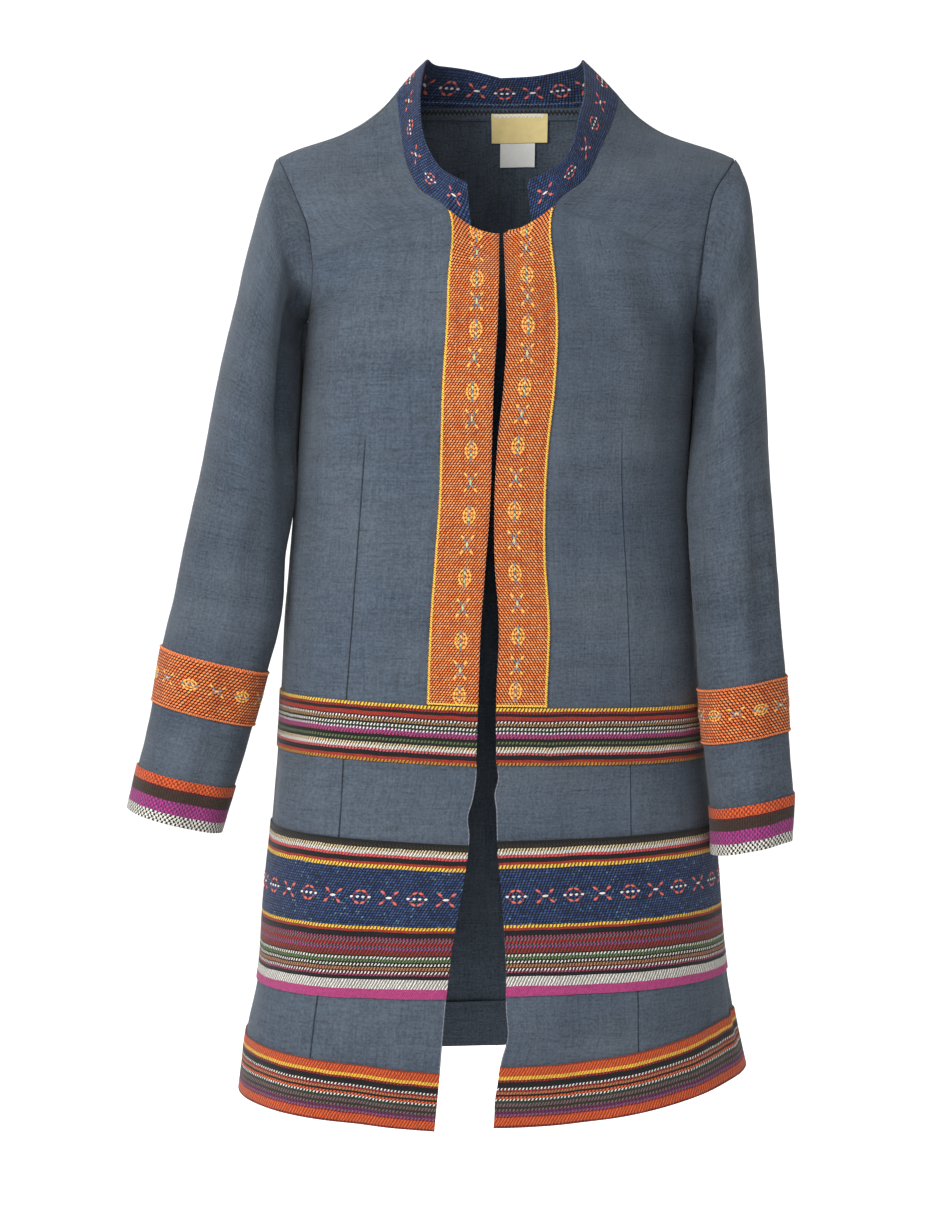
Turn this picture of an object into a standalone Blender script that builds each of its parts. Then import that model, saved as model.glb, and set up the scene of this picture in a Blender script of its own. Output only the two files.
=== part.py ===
"""Long open-front jacket with a stand collar and woven trim bands.

Metres, +Z up.  The front faces -Y.  "r" is the wearer's right (-X) and "l"
the wearer's left (+X).  The origin is the middle of the neck base, level with
the two points where the shoulder seams meet the collar.
"""
import bpy
import numpy as np

COLLECTION = "long_open_jacket"

# Driving sizes
WALL = 0.0016            # body and sleeve cloth, as a solid
COLLAR_WALL = 0.0022
BAND_WALL = 0.0011
LABEL_WALL = 0.0010
SEAM_GAP = 0.0004        # between two pieces at a seam
LAY_GAP = 0.0004         # between a band and the cloth under it
BUTT_GAP = 0.0008        # between the foot of the front band and the hip band
BAND_W = 0.0435          # woven front band, edge to edge
EXTRA = 4                # grid columns inside the front band or beside the back seam
MAIN = 11                # grid columns from there to the side
BACK_W = 0.080           # centre back to the last of the extra columns
BACK_X = -0.003          # centre back seam
FINE = 400               # points used to measure along a row before it is cut into columns
EVEN_SHARE = 0.35        # share of a row spread evenly rather than with the roundness
HEM_LIFT = 1.9           # the left hem stays low and climbs towards the side
SAG_PEAK = 6.75          # brings the hollow beside the neck to its full depth

# Front of the body, bottom to top.  zi, zo: height at the front edge and at the side;
# e: front edge x; s: side x; yi, yo: depth at the edge and at the side; p: roundness;
# n: steps up to the next row.  "r" and "l" columns differ as the garment hangs.
FRONT = [
    # name      zi_r     zi_l     zo_r     zo_l    e_r      e_l      s_r      s_l     yi      yo     p   n
    ("hem",    -0.8880, -0.8850, -0.8755, -0.8550, -.0614, -.0110, -.2372, 0.2150, -0.130, 0.000, 2.4, 1),
    ("hem_t",  -0.8385, -0.8330, -0.8245, -0.8040, -.0567, -.0060, -.2310, 0.2030, -0.128, 0.000, 2.4, 1),
    ("skirt_b", -0.7750, -0.7725, -0.7760, -0.7680, -.0513, -.0006, -.2206, 0.1975, -0.126, 0.000, 2.4, 1),
    ("skirt_m", -0.7090, -0.7062, -0.7075, -0.7018, -.0420, -.0025, -.2150, 0.1915, -0.123, 0.000, 2.4, 1),
    ("skirt_t", -0.6436, -0.6400, -0.6363, -0.6355, -.0318, -.0080, -.2077, 0.1865, -0.120, 0.000, 2.4, 2),
    ("hip_b",  -0.5765, -0.5755, -0.5690, -0.5770, -.0261, -.0086, -.2022, 0.1795, -0.117, 0.000, 2.4, 1),
    ("hip_t",  -0.5265, -0.5265, -0.5190, -0.5290, -.0242, -.0088, -.1992, 0.1755, -0.115, 0.000, 2.4, 2),
    ("waist",  -0.4500, -0.4500, -0.4500, -0.4520, -.0212, -.0066, -.1955, 0.1700, -0.112, 0.000, 2.4, 1),
    ("rib_a",  -0.4000, -0.4000, -0.4000, -0.4030, -.0175, -.0101, -.1909, 0.1670, -0.112, 0.000, 2.4, 1),
    ("rib_b",  -0.3500, -0.3500, -0.3500, -0.3540, -.0138, -.0102, -.1868, 0.1640, -0.114, 0.000, 2.4, 1),
    ("bust",   -0.3000, -0.3000, -0.3000, -0.3060, -.0123, -.0076, -.1828, 0.1635, -0.116, 0.000, 2.4, 1),
    ("chest",  -0.2500, -0.2520, -0.2480, -0.2600, -.0108, -.0025, -.1793, 0.1655, -0.116, 0.000, 2.3, 1),
    ("under",  -0.2000, -0.2020, -0.1922, -0.2130, -.0075, 0.0000, -.1743, 0.1666, -0.112, 0.000, 2.3, 2),
    ("arm",    -0.1640, -0.1640, -0.1740, -0.1860, -.0066, -.0010, -.1686, 0.1656, -0.105, -0.046, 1.9, 3),
    ("corner", -0.1236, -0.1202, -0.1430, -0.1500, -.0062, -.0027, -.1674, 0.1680, -0.093, -0.060, 1.9, 3),
]
CORNER_RISE = 0.0206     # the neckline climbs this much across the front band
CORNER_POWER = 1.9

# Neckline to armhole, going up and over the shoulder seam.  n*: neckline point;
# a*: armhole point; p: roundness; g: outward fullness; sag: hollow beside the neck.
YOKE = [
    # name    nx_r    ny     nz_r    nx_l   nz_l    ax_r    ay_r   az_r   ax_l   ay_l   az_l   p    g     sag   n
    ("yoke_a", -.0743, -.066, -.0819, .0687, -.0729, -.1722, -.056, -.113, .1742, -.056, -.113, 1.5, .006, .001, 2),
    ("yoke_b", -.0862, -.045, -.0575, .0828, -.0445, -.1835, -.043, -.085, .1815, -.043, -.084, 1.2, .005, .005, 2),
    ("yoke_c", -.0919, -.021, -.0247, .0935, -.0201, -.1940, -.023, -.062, .1950, -.023, -.063, 1.0, .002, .010, 2),
    ("seam",   -.0951, .0030, .00740, .0999, .00470, -.2010, .0000, -.050, .2030, .0000, -.051, 1.0, .000, .012, 3),
]

# Back of the body, top to bottom.  cz, cy: centre back; the rest as in FRONT.
BACK_NECK_RISE = 0.0015
BACK = [
    # name      cz       cy     zo_r     zo_l     s_r      s_l     yo      p    n
    ("neck",   0.0030, 0.072, -.0720, -.0730, -.1900, 0.1910, 0.036, 1.7, 3),
    ("blade_a", -.0350, 0.089, -.1080, -.1130, -.1760, 0.1770, 0.057, 1.9, 3),
    ("blade_b", -.0880, 0.101, -.1460, -.1530, -.1690, 0.1690, 0.061, 2.0, 2),
    ("blade_c", -.1420, 0.106, -.1740, -.1880, -.1692, 0.1660, 0.048, 2.1, 3),
    ("under",  -.2000, 0.106, -.1922, -.2130, -.1743, 0.1666, 0.000, 2.3, 1),
    ("chest",  -.2500, 0.103, -.2480, -.2600, -.1793, 0.1655, 0.000, 2.3, 1),
    ("bust",   -.3000, 0.099, -.3000, -.3060, -.1828, 0.1635, 0.000, 2.4, 1),
    ("rib_b",  -.3500, 0.096, -.3500, -.3540, -.1868, 0.1640, 0.000, 2.4, 1),
    ("rib_a",  -.4000, 0.096, -.4000, -.4030, -.1909, 0.1670, 0.000, 2.4, 1),
    ("waist",  -.4500, 0.099, -.4500, -.4520, -.1955, 0.1700, 0.000, 2.4, 2),
    ("hip_t",  -.5220, 0.106, -.5190, -.5290, -.1992, 0.1755, 0.000, 2.4, 1),
    ("hip_b",  -.5720, 0.109, -.5690, -.5770, -.2022, 0.1795, 0.000, 2.4, 2),
    ("skirt_t", -.6420, 0.114, -.6363, -.6355, -.2077, 0.1865, 0.000, 2.4, 1),
    ("skirt_m", -.7080, 0.117, -.7075, -.7018, -.2150, 0.1915, 0.000, 2.4, 1),
    ("skirt_b", -.7740, 0.120, -.7760, -.7680, -.2206, 0.1975, 0.000, 2.4, 1),
    ("hem_t",  -.8150, 0.123, -.8245, -.8040, -.2310, 0.2030, 0.000, 2.4, 1),
    ("hem",    -.8680, 0.127, -.8755, -.8550, -.2372, 0.2150, 0.000, 2.4, 1),
]

# Sleeves, armhole to cuff.  ox, oz: outer side; ix, iz: underside; y: middle; d: half depth.
SLEEVE_R = [
    # name    ox      oz      ix      iz      y      d    n
    ("cap_a", .2073, -.0660, .1768, -.1970, -.004, .0640, 1),
    ("cap_b", .2134, -.0846, .1774, -.2030, -.009, .0655, 1),
    ("cap_c", .2205, -.1114, .1786, -.2110, -.014, .0660, 1),
    ("arm_a", .2275, -.1381, .1782, -.2215, -.019, .0655, 1),
    ("arm_b", .2354, -.1737, .1788, -.2385, -.023, .0645, 2),
    ("arm_c", .2459, -.2182, .1801, -.2665, -.027, .0620, 1),
    ("arm_d", .2553, -.2627, .1824, -.3015, -.030, .0590, 2),
    ("elbow", .2654, -.3185, .1864, -.3494, -.033, .0560, 2),
    ("fore_a", .2811, -.3863, .1930, -.4040, -.036, .0520, 2),
    ("fore_b", .2909, -.4361, .1962, -.4530, -.039, .0490, 1),
    ("band_t", .3007, -.4775, .2088, -.5010, -.042, .0460, 1),
    ("band_b", .3089, -.5255, .2215, -.5482, -.045, .0440, 1),
    ("wrist", .3156, -.5584, .2300, -.5776, -.048, .0430, 1),
    ("cuff_t", .3214, -.5812, .2377, -.6014, -.050, .0420, 1),
    ("cuff_b", .3299, -.6190, .2497, -.6408, -.052, .0410, 1),
]
SLEEVE_L = [
    # name    ox      oz      ix      iz      y      d    n
    ("cap_a", .2108, -.0667, .1688, -.2180, -.004, .0640, 1),
    ("cap_b", .2153, -.0846, .1690, -.2235, -.010, .0650, 1),
    ("cap_c", .2178, -.1114, .1684, -.2310, -.016, .0650, 1),
    ("arm_a", .2201, -.1383, .1663, -.2410, -.021, .0645, 1),
    ("arm_b", .2215, -.1740, .1651, -.2585, -.030, .0630, 2),
    ("arm_c", .2244, -.2186, .1633, -.2850, -.036, .0605, 1),
    ("arm_d", .2273, -.2629, .1622, -.3120, -.040, .0580, 2),
    ("elbow", .2298, -.3184, .1620, -.3520, -.045, .0550, 2),
    ("fore_a", .2337, -.3857, .1644, -.4050, -.052, .0510, 2),
    ("fore_b", .2366, -.4378, .1662, -.4530, -.057, .0480, 1),
    ("band_t", .2424, -.5012, .1685, -.5142, -.062, .0450, 1),
    ("band_b", .2448, -.5489, .1722, -.5619, -.064, .0430, 1),
    ("wrist", .2473, -.5810, .1760, -.5940, -.065, .0420, 1),
    ("cuff_t", .2489, -.6030, .1785, -.6175, -.066, .0410, 1),
    ("cuff_b", .2472, -.6434, .1803, -.6582, -.066, .0400, 1),
]

EVEN_BY = 6              # rings from the armhole until the points are evenly spread
SLEEVE_TURN = 8.0        # how far the sleeve's edge faces the way of the body beside it

# Top edge of the collar against the neckline, front end to centre back.
COLLAR = [
    # at      x_r      x_l      y      z_r      z_l
    ("end",   -.0336, .0180, -.0860, -.0801, -.0784),
    ("band",  -.0439, .0395, -.0815, -.0745, -.0675),
    ("yoke_a", -.0604, .0582, -.0690, -.0617, -.0450),
    ("yoke_b", -.0720, .0642, -.0520, -.0368, -.0190),
    ("yoke_c", -.0755, .0700, -.0260, .0020, .0030),
    ("seam",  -.0715, .0705, .0080, .0335, .0326),
    ("turn",  -.0590, .0595, .0370, .0358, .0330),
    ("nape",  -.0340, .0300, .0520, .0342, .0288),
    ("back",  -.0030, -.0030, .0560, .0272, .0272),
]
COLLAR_STEPS = 3
COLLAR_TURN = 3.0        # how far its foot faces the way of the body below it
COLLAR_END = 2           # the collar stops this many columns short of the front band's outer edge

# Soft hollows and swells in the cloth.  c: grid column; w: its half width in columns;
# z_hi, z_lo: where it starts and ends; depth: outward.
FADE_RUN = 0.8           # share of a fold's length over which it grows to full depth
FADE_LOSS = 0.25         # share of its depth lost by the lower end
FOLDS = [
    # side  part     c     w    z_hi    z_lo   depth
    ("r", "front", 5.2, 0.9, -0.020, -0.200, -0.0030),
    ("l", "front", 5.4, 0.9, -0.030, -0.190, -0.0025),
    ("r", "front", 8.5, 1.6, -0.560, -0.900, 0.0030),
    ("r", "front", 5.5, 1.4, -0.600, -0.900, -0.0025),
    ("l", "front", 7.6, 1.5, -0.600, -0.900, 0.0030),
    ("l", "front", 12.0, 1.1, -0.700, -0.880, -0.0035),
    ("r", "back", 3.5, 1.6, -0.420, -0.880, 0.0040),
    ("r", "back", 8.0, 1.8, -0.380, -0.880, -0.0040),
    ("l", "back", 2.8, 1.5, -0.450, -0.880, -0.0030),
    ("l", "back", 6.5, 1.7, -0.400, -0.880, 0.0045),
    ("l", "back", 10.6, 1.6, -0.350, -0.880, -0.0040),
]
# The same on a sleeve.  turn: place round it, 0 underneath, 0.25 front, 0.5 outer side.
SLEEVE_FOLDS = [
    # side  turn   w     z_hi    z_lo   depth
    ("r", 0.18, 0.05, -0.080, -0.330, -0.0040),
    ("r", 0.34, 0.05, -0.260, -0.480, 0.0030),
    ("r", 0.72, 0.06, -0.120, -0.440, -0.0040),
    ("l", 0.20, 0.05, -0.100, -0.340, -0.0040),
    ("l", 0.42, 0.04, -0.280, -0.500, 0.0040),
    ("l", 0.74, 0.06, -0.140, -0.460, -0.0040),
]

# Labels inside the back neck: x range and z range.
LABEL = (-0.0118, 0.0396, -0.0265, -0.0010)
CARE_LABEL = (-0.0035, 0.0286, -0.0480, -0.0270)
LABEL_OFF = 0.0012       # clear of the cloth behind it
LABEL_COLS, LABEL_ROWS = 4, 3

# Colour, roughness
COLOURS = {
    "slate": ((0.100, 0.128, 0.165), 0.90),
    "navy": ((0.022, 0.060, 0.155), 0.85),
    "orange": ((0.690, 0.150, 0.030), 0.85),
    "stripes": ((0.260, 0.110, 0.090), 0.88),
    "cuffs": ((0.330, 0.120, 0.130), 0.88),
    "label": ((0.640, 0.540, 0.270), 0.80),
    "care": ((0.780, 0.780, 0.760), 0.70),
}


def smooth(knots, values, at):
    """Curve through values at the knots, read off at other places."""
    knots, values, at = np.asarray(knots), np.asarray(values), np.asarray(at)
    slope = np.gradient(values, knots, axis=0)
    k = np.clip(np.searchsorted(knots, at, side="right") - 1, 0, len(knots) - 2)
    h = (knots[k + 1] - knots[k]).reshape(-1, *([1] * (values.ndim - 1)))
    t = ((at - knots[k]).reshape(h.shape)) / h
    a = 2 * t**3 - 3 * t**2 + 1
    b = t**3 - 2 * t**2 + t
    return a * values[k] + b * h * slope[k] + (1 - a) * values[k + 1] + (t**3 - t**2) * h * slope[k + 1]


def along(curve, first, count):
    """Even steps along a fine curve, from the length first to its end."""
    run = np.concatenate([[0.0], np.cumsum(np.linalg.norm(np.diff(curve, axis=0), axis=1))])
    want = np.linspace(first, run[-1], count + 1)
    return np.stack([np.interp(want, run, curve[:, k]) for k in range(3)], axis=1)


def row_across(start, end, power, strip, rise=0.0, rise_power=1.0, lift=1.0):
    """A row from the front edge or centre back to the side: extra columns, then main ones."""
    q = np.sin(np.linspace(0, np.pi / 2, FINE)) ** (2 / power)
    q = np.linspace(0, 1, FINE) * EVEN_SHARE + q * (1 - EVEN_SHARE)
    q[0], q[-1] = 0.0, 1.0
    x = start[0] + (end[0] - start[0]) * q
    y = end[1] + (start[1] - end[1]) * np.clip(1 - q**power, 0, 1) ** (1 / power)
    w = np.abs(x - start[0]) / strip
    z_strip = start[2] + rise * np.clip(w, 0, 1) ** rise_power
    if rise:
        u = np.clip((np.abs(x - start[0]) - strip) / (abs(end[0] - start[0]) - strip), 0, 1)
        z = z_strip + (end[2] - start[2] - rise) * u
    else:
        z = start[2] + (end[2] - start[2]) * q**lift
    curve = np.stack([x, y, z], axis=1)
    run = np.concatenate([[0.0], np.cumsum(np.linalg.norm(np.diff(curve, axis=0), axis=1))])
    at_strip = np.interp(1.0, w, run)
    inner = np.linspace(0, at_strip, EXTRA + 1)
    strip_part = np.stack([np.interp(inner, run, curve[:, k]) for k in range(3)], axis=1)
    return np.concatenate([strip_part[:-1], along(curve, at_strip, MAIN)])


def row_yoke(start, end, power, full, sag):
    """A row from the neckline to the armhole; the extra columns are left empty."""
    u = np.linspace(0, 1, FINE)
    curve = start + (end - start) * u[:, None]
    curve[:, 1] = end[1] + (start[1] - end[1]) * (1 - u**power) ** (1 / power) - full * np.sin(np.pi * u)
    curve[:, 2] -= sag * SAG_PEAK * u * (1 - u) ** 2
    return np.concatenate([np.full((EXTRA, 3), np.nan), along(curve, 0.0, MAIN)])


def body_rows(side):
    """Table rows as points, from the front hem over the shoulder to the back hem."""
    left = side == "l"
    rows = []
    for name, zi_r, zi_l, zo_r, zo_l, e_r, e_l, s_r, s_l, yi, yo, p, n in FRONT:
        start = (e_l, yi, zi_l) if left else (e_r, yi, zi_r)
        end = (s_l, yo, zo_l) if left else (s_r, yo, zo_r)
        if name == "corner":
            pts = row_across(start, end, p, BAND_W, CORNER_RISE, CORNER_POWER)
        else:
            lift = HEM_LIFT if left and name.startswith("hem") else 1.0
            pts = row_across(start, end, p, BAND_W, lift=lift)
        rows.append(("f_" + name, n, pts))
    for name, nxr, ny, nzr, nxl, nzl, axr, ayr, azr, axl, ayl, azl, p, g, sag, n in YOKE:
        start = np.array((nxl, ny, nzl) if left else (nxr, ny, nzr))
        end = np.array((axl, ayl, azl) if left else (axr, ayr, azr))
        rows.append((name, n, row_yoke(start, end, p, g, sag)))
    for name, cz, cy, zo_r, zo_l, s_r, s_l, yo, p, n in BACK:
        start = (BACK_X, cy, cz)
        end = (s_l, yo, zo_l) if left else (s_r, yo, zo_r)
        rise = BACK_NECK_RISE if name == "neck" else 0.0
        rows.append(("b_" + name, n, row_across(start, end, p, BACK_W, rise, 2.0)))
    return rows


def body_grid(side):
    """Even grid of the half body, and the row number of each table row."""
    rows = body_rows(side)
    names = [r[0] for r in rows]
    pts = np.stack([r[2] for r in rows])
    mid = pts[:, EXTRA + MAIN // 2]
    knots = np.concatenate([[0.0], np.cumsum(np.linalg.norm(np.diff(mid, axis=0), axis=1))])
    at, number = [], {}
    for i, (name, n, _) in enumerate(rows):
        number[name] = len(at)
        if i + 1 < len(rows):
            at += list(np.linspace(knots[i], knots[i + 1], n + 1)[:-1])
    at.append(knots[-1])
    at = np.array(at)
    grid = np.full((len(at), EXTRA + MAIN + 1, 3), np.nan)
    grid[:, EXTRA:] = smooth(knots, pts[:, EXTRA:], at)
    a, k = names.index("f_corner"), names.index("b_neck")
    ra, rk = number["f_corner"], number["b_neck"]
    grid[:ra + 1, :EXTRA] = smooth(knots[:a + 1], pts[:a + 1, :EXTRA], at[:ra + 1])
    grid[rk:, :EXTRA] = smooth(knots[k:], pts[k:, :EXTRA], at[rk:])
    below = number["f_under"]
    last = len(at) - 1
    for r in range(below + 1):
        both = (grid[r, -1] + grid[last - r, -1]) / 2
        grid[r, -1] = grid[last - r, -1] = both
    return grid, number


def corner_sum(grid):
    """Outward directions summed at every grid point from the cells round it."""
    total = np.zeros_like(grid)
    a, b, c, d = grid[:-1, :-1], grid[:-1, 1:], grid[1:, 1:], grid[1:, :-1]
    face = np.nan_to_num(np.cross(c - a, d - b))
    for rs, cs in ((slice(None, -1), slice(None, -1)), (slice(None, -1), slice(1, None)),
                   (slice(1, None), slice(1, None)), (slice(1, None), slice(None, -1))):
        total[rs, cs] += face
    return total


def unit(v):
    return v / np.maximum(np.linalg.norm(v, axis=-1, keepdims=True), 1e-12)


def fade(z, hi, lo):
    """0 above hi, growing softly on the way down to lo."""
    t = np.clip((hi - z) / (hi - lo), 0, 1)
    return np.sin(np.pi * np.clip(t / FADE_RUN, 0, 1) / 2) ** 2 * (1 - FADE_LOSS * t)


def both_halves():
    """Grids and outward directions of both halves, equal along every seam."""
    grids, norms, number = {}, {}, None
    for side, sign in (("r", -1.0), ("l", 1.0)):
        grid, number = body_grid(side)
        grids[side], norms[side] = grid, sign * corner_sum(grid)
    last, below, rk = len(grids["r"]) - 1, number["f_under"], number["b_neck"]

    def share():
        for side in "rl":
            n = norms[side]
            for r in range(below + 1):
                n[r, -1] = n[last - r, -1] = n[r, -1] + n[last - r, -1]
        both = norms["r"][rk:, 0] + norms["l"][rk:, 0]
        norms["r"][rk:, 0] = norms["l"][rk:, 0] = both
        for side in "rl":
            norms[side] = unit(norms[side])

    share()
    top = number["seam"]
    cols = np.arange(EXTRA + MAIN + 1)
    for side, part, c, w, z_hi, z_lo, depth in FOLDS:
        grid = grids[side]
        rows = slice(0, top + 1) if part == "front" else slice(top, last + 1)
        z = grid[rows, :, 2]
        amount = depth * np.exp(-((cols - c) / w) ** 2)[None, :] * fade(z, z_hi, z_lo)
        amount[:, -1] = 0.0
        if part == "back":
            amount[:, 0] = 0.0
        grid[rows] += amount[:, :, None] * norms[side][rows]
    for side, sign in (("r", -1.0), ("l", 1.0)):
        norms[side] = sign * corner_sum(grids[side])
    share()
    return grids, norms, number


def solid(name, inner, outer, closed, colour, swap=None):
    """Closed sheet between two grids of points.  NaN points are left out.

    Cells are cut from corner to corner, the other way in the columns named in swap,
    so that a band and the cloth under it are cut alike.
    """
    rows, cols = outer.shape[:2]
    ok = ~np.isnan(outer[:, :, 0])
    ids = np.full((rows, cols), -1)
    verts = []
    for r in range(rows):
        for c in range(cols):
            if ok[r, c]:
                ids[r, c] = len(verts)
                verts.append(outer[r, c])
    half = len(verts)
    verts += [inner[r, c] for r in range(rows) for c in range(cols) if ok[r, c]]
    faces, edges = [], {}
    span = cols if closed else cols - 1
    for r in range(rows - 1):
        for c in range(span):
            quad = [ids[r, c], ids[r, (c + 1) % cols], ids[r + 1, (c + 1) % cols], ids[r + 1, c]]
            if min(quad) < 0:
                continue
            if swap is not None and swap[c]:
                halves = ([quad[0], quad[1], quad[3]], [quad[1], quad[2], quad[3]])
            else:
                halves = ([quad[0], quad[1], quad[2]], [quad[0], quad[2], quad[3]])
            for tri in halves:
                faces.append(tri)
                faces.append([v + half for v in reversed(tri)])
            for i in range(4):
                a, b = quad[i], quad[(i + 1) % 4]
                if (b, a) in edges:
                    del edges[(b, a)]
                else:
                    edges[(a, b)] = True
    for a, b in edges:
        faces.append([b, a, a + half, b + half])
    mesh = bpy.data.meshes.new(name)
    mesh.from_pydata([tuple(map(float, v)) for v in verts], [], [tuple(map(int, f)) for f in faces])
    used = {i for f in faces for i in f}
    assert len(used) == len(verts), name
    mesh.validate()
    volume = 0.0
    for f in faces:
        p = [np.asarray(verts[i]) for i in f]
        for k in range(1, len(p) - 1):
            volume += float(np.dot(p[0], np.cross(p[k], p[k + 1])))
    if volume < 0:
        mesh.flip_normals()
    obj = bpy.data.objects.new(name, mesh)
    home.objects.link(obj)
    mesh.materials.append(materials[colour])
    return obj


def pulled(grid, rows, col, step):
    """Draw one edge column back by half a seam gap, along the cloth."""
    way = unit(grid[rows, col + step] - grid[rows, col])
    out = grid.copy()
    out[rows, col] += way * SEAM_GAP / 2
    return out


def pulled_row(grid, row, step):
    way = unit(grid[row + step] - grid[row])
    out = grid.copy()
    out[row] += way * SEAM_GAP / 2
    return out


def block(grid, rows, cols):
    return grid[rows[0]:rows[1] + 1, cols[0]:cols[1] + 1]


def make_body(grids, norms, number):
    below, top, ra, rk = number["f_under"], number["seam"], number["f_corner"], number["b_neck"]
    for side in "rl":
        grid, norm = grids[side], norms[side]
        last, end = len(grid) - 1, EXTRA + MAIN
        front = pulled(grid[:top + 1], slice(0, below + 1), end, -1)
        front = pulled_row(front, top, -1)
        solid("front_" + side, front - norm[:top + 1] * WALL, front, False, "slate")
        back = grid[top:].copy()
        nb = norm[top:]
        back = pulled(back, slice(last - below - top, last - top + 1), end, -1)
        back = pulled(back, slice(rk - top, last - top + 1), 0, 1)
        back = pulled_row(back, 0, 1)
        solid("back_" + side, back - nb * WALL, back, False, "slate")
        rows = (number["f_hip_t"], ra)
        strip, ns = block(grid, rows, (0, EXTRA)).copy(), block(norm, rows, (0, EXTRA))
        strip[0] += unit(strip[1] - strip[0]) * BUTT_GAP
        solid("front_band_" + side, strip + ns * LAY_GAP, strip + ns * (LAY_GAP + BAND_WALL),
              False, "orange")


def make_bands(grids, norms, number):
    """Bands round the whole body, one piece each, from front edge to front edge."""
    for name, low, high, colour in (("hip_band", "hip_b", "hip_t", "stripes"),
                                    ("skirt_band", "skirt_b", "skirt_t", "navy"),
                                    ("hem_band", "hem", "hem_t", "stripes")):
        parts, ways = [], []
        for side in "rl":
            grid, norm = grids[side], norms[side]
            f = slice(number["f_" + low], number["f_" + high] + 1)
            b = slice(number["b_" + high], number["b_" + low] + 1)
            strip = [grid[f], grid[b][::-1, ::-1][:, 1:]]
            way = [norm[f], norm[b][::-1, ::-1][:, 1:]]
            strip, way = np.concatenate(strip, axis=1), np.concatenate(way, axis=1)
            if side == "l":
                strip, way = strip[:, ::-1][:, 1:], way[:, ::-1][:, 1:]
            parts.append(strip)
            ways.append(way)
        strip, way = np.concatenate(parts, axis=1), np.concatenate(ways, axis=1)
        swap = np.arange(strip.shape[1]) >= parts[0].shape[1] - 1
        solid(name, strip + way * LAY_GAP, strip + way * (LAY_GAP + BAND_WALL), False, colour, swap)


def armhole(side, grids, norms, number):
    """Loop of armhole points, underarm, front, shoulder, back, moved off the body, and its facing."""
    grid, norm = grids[side], norms[side]
    below, last = number["f_under"], len(grid) - 1
    rows = np.arange(below, last - below)
    edge, away = grid[rows, -1], unit(grid[rows, -1] - grid[rows, -2])
    away[0] = (0.0, 0.0, 1.0)
    return edge + (away + norm[rows, -1]) * SEAM_GAP, norm[rows, -1]


def sharing(way, other, pull):
    """Turn an edge's facing to that of the cloth it meets, where both look the same way."""
    same = np.clip(np.sum(way * other, axis=-1, keepdims=True), 0, 1)
    return unit(way + pull * same * other)


def sleeve_grid(side, loop):
    """Rings of the sleeve from the armhole to the cuff, and the ring number of each row."""
    table, sign = (SLEEVE_R, -1.0) if side == "r" else (SLEEVE_L, 1.0)
    m = len(loop)
    tip = loop[m // 2]
    arm = (tip - loop[0]) / 2
    off = loop - (tip + loop[0]) / 2
    seam_turn = np.arctan2(-off[:, 1] / np.abs(loop[:, 1]).max(), -(off @ arm) / (arm @ arm))
    seam_turn = np.where(seam_turn < -1e-6, seam_turn + 2 * np.pi, seam_turn)
    seam_turn[0] = 0.0
    even_turn = 2 * np.pi * np.arange(m) / m
    rings = [loop]
    for i, (_, ox, oz, ix, iz, y, d, _) in enumerate(table):
        mix = min(1.0, i / EVEN_BY)
        turn = seam_turn * (1 - mix) + even_turn * mix
        outer, inner = np.array((sign * ox, y, oz)), np.array((sign * ix, y, iz))
        ring = (outer + inner) / 2 - np.cos(turn)[:, None] * (outer - inner) / 2
        ring[:, 1] -= np.sin(turn) * d
        rings.append(ring)
    rings = np.stack(rings)
    centre = rings.mean(axis=1)
    knots = np.concatenate([[0.0], np.cumsum(np.linalg.norm(np.diff(centre, axis=0), axis=1))])
    steps = [1] + [row[-1] for row in table]
    at, number = [], {}
    for i, name in enumerate(["loop"] + [row[0] for row in table]):
        number[name] = len(at)
        if i < len(table):
            at += list(np.linspace(knots[i], knots[i + 1], steps[i] + 1)[:-1])
    at.append(knots[-1])
    return smooth(knots, rings, np.array(at)), number


def ring_normals(grid, sign):
    wrapped = np.concatenate([grid[:, -1:], grid, grid[:, :1]], axis=1)
    return sign * unit(corner_sum(wrapped)[:, 1:-1])


def make_sleeves(grids, norms, number):
    for side, sign in (("r", -1.0), ("l", 1.0)):
        loop, facing = armhole(side, grids, norms, number)
        grid, ring = sleeve_grid(side, loop)
        way = ring_normals(grid, 1.0)
        centre = grid.mean(axis=1, keepdims=True)
        if np.sum(way * (grid - centre)) < 0:
            way = -way
        m = grid.shape[1]
        place = np.arange(m) / m
        for fold_side, turn, w, z_hi, z_lo, depth in SLEEVE_FOLDS:
            if fold_side == side:
                amount = depth * np.exp(-((place - turn) / w) ** 2)[None, :]
                amount = amount * fade(grid[:, :, 2], z_hi, z_lo)
                grid = grid + amount[:, :, None] * way
        flip = np.sum(ring_normals(grid, 1.0) * way)
        way = ring_normals(grid, 1.0 if flip > 0 else -1.0)
        way[0] = sharing(way[0], facing, SLEEVE_TURN)
        solid("sleeve_" + side, grid - way * WALL, grid, True, "slate")
        for name, a, b, colour in (("sleeve_band_", "band_t", "band_b", "orange"),
                                   ("cuff_band_", "cuff_t", "cuff_b", "cuffs")):
            strip, ns = grid[ring[a]:ring[b] + 1], way[ring[a]:ring[b] + 1]
            solid(name + side, strip + ns * LAY_GAP, strip + ns * (LAY_GAP + BAND_WALL), True, colour)


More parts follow.
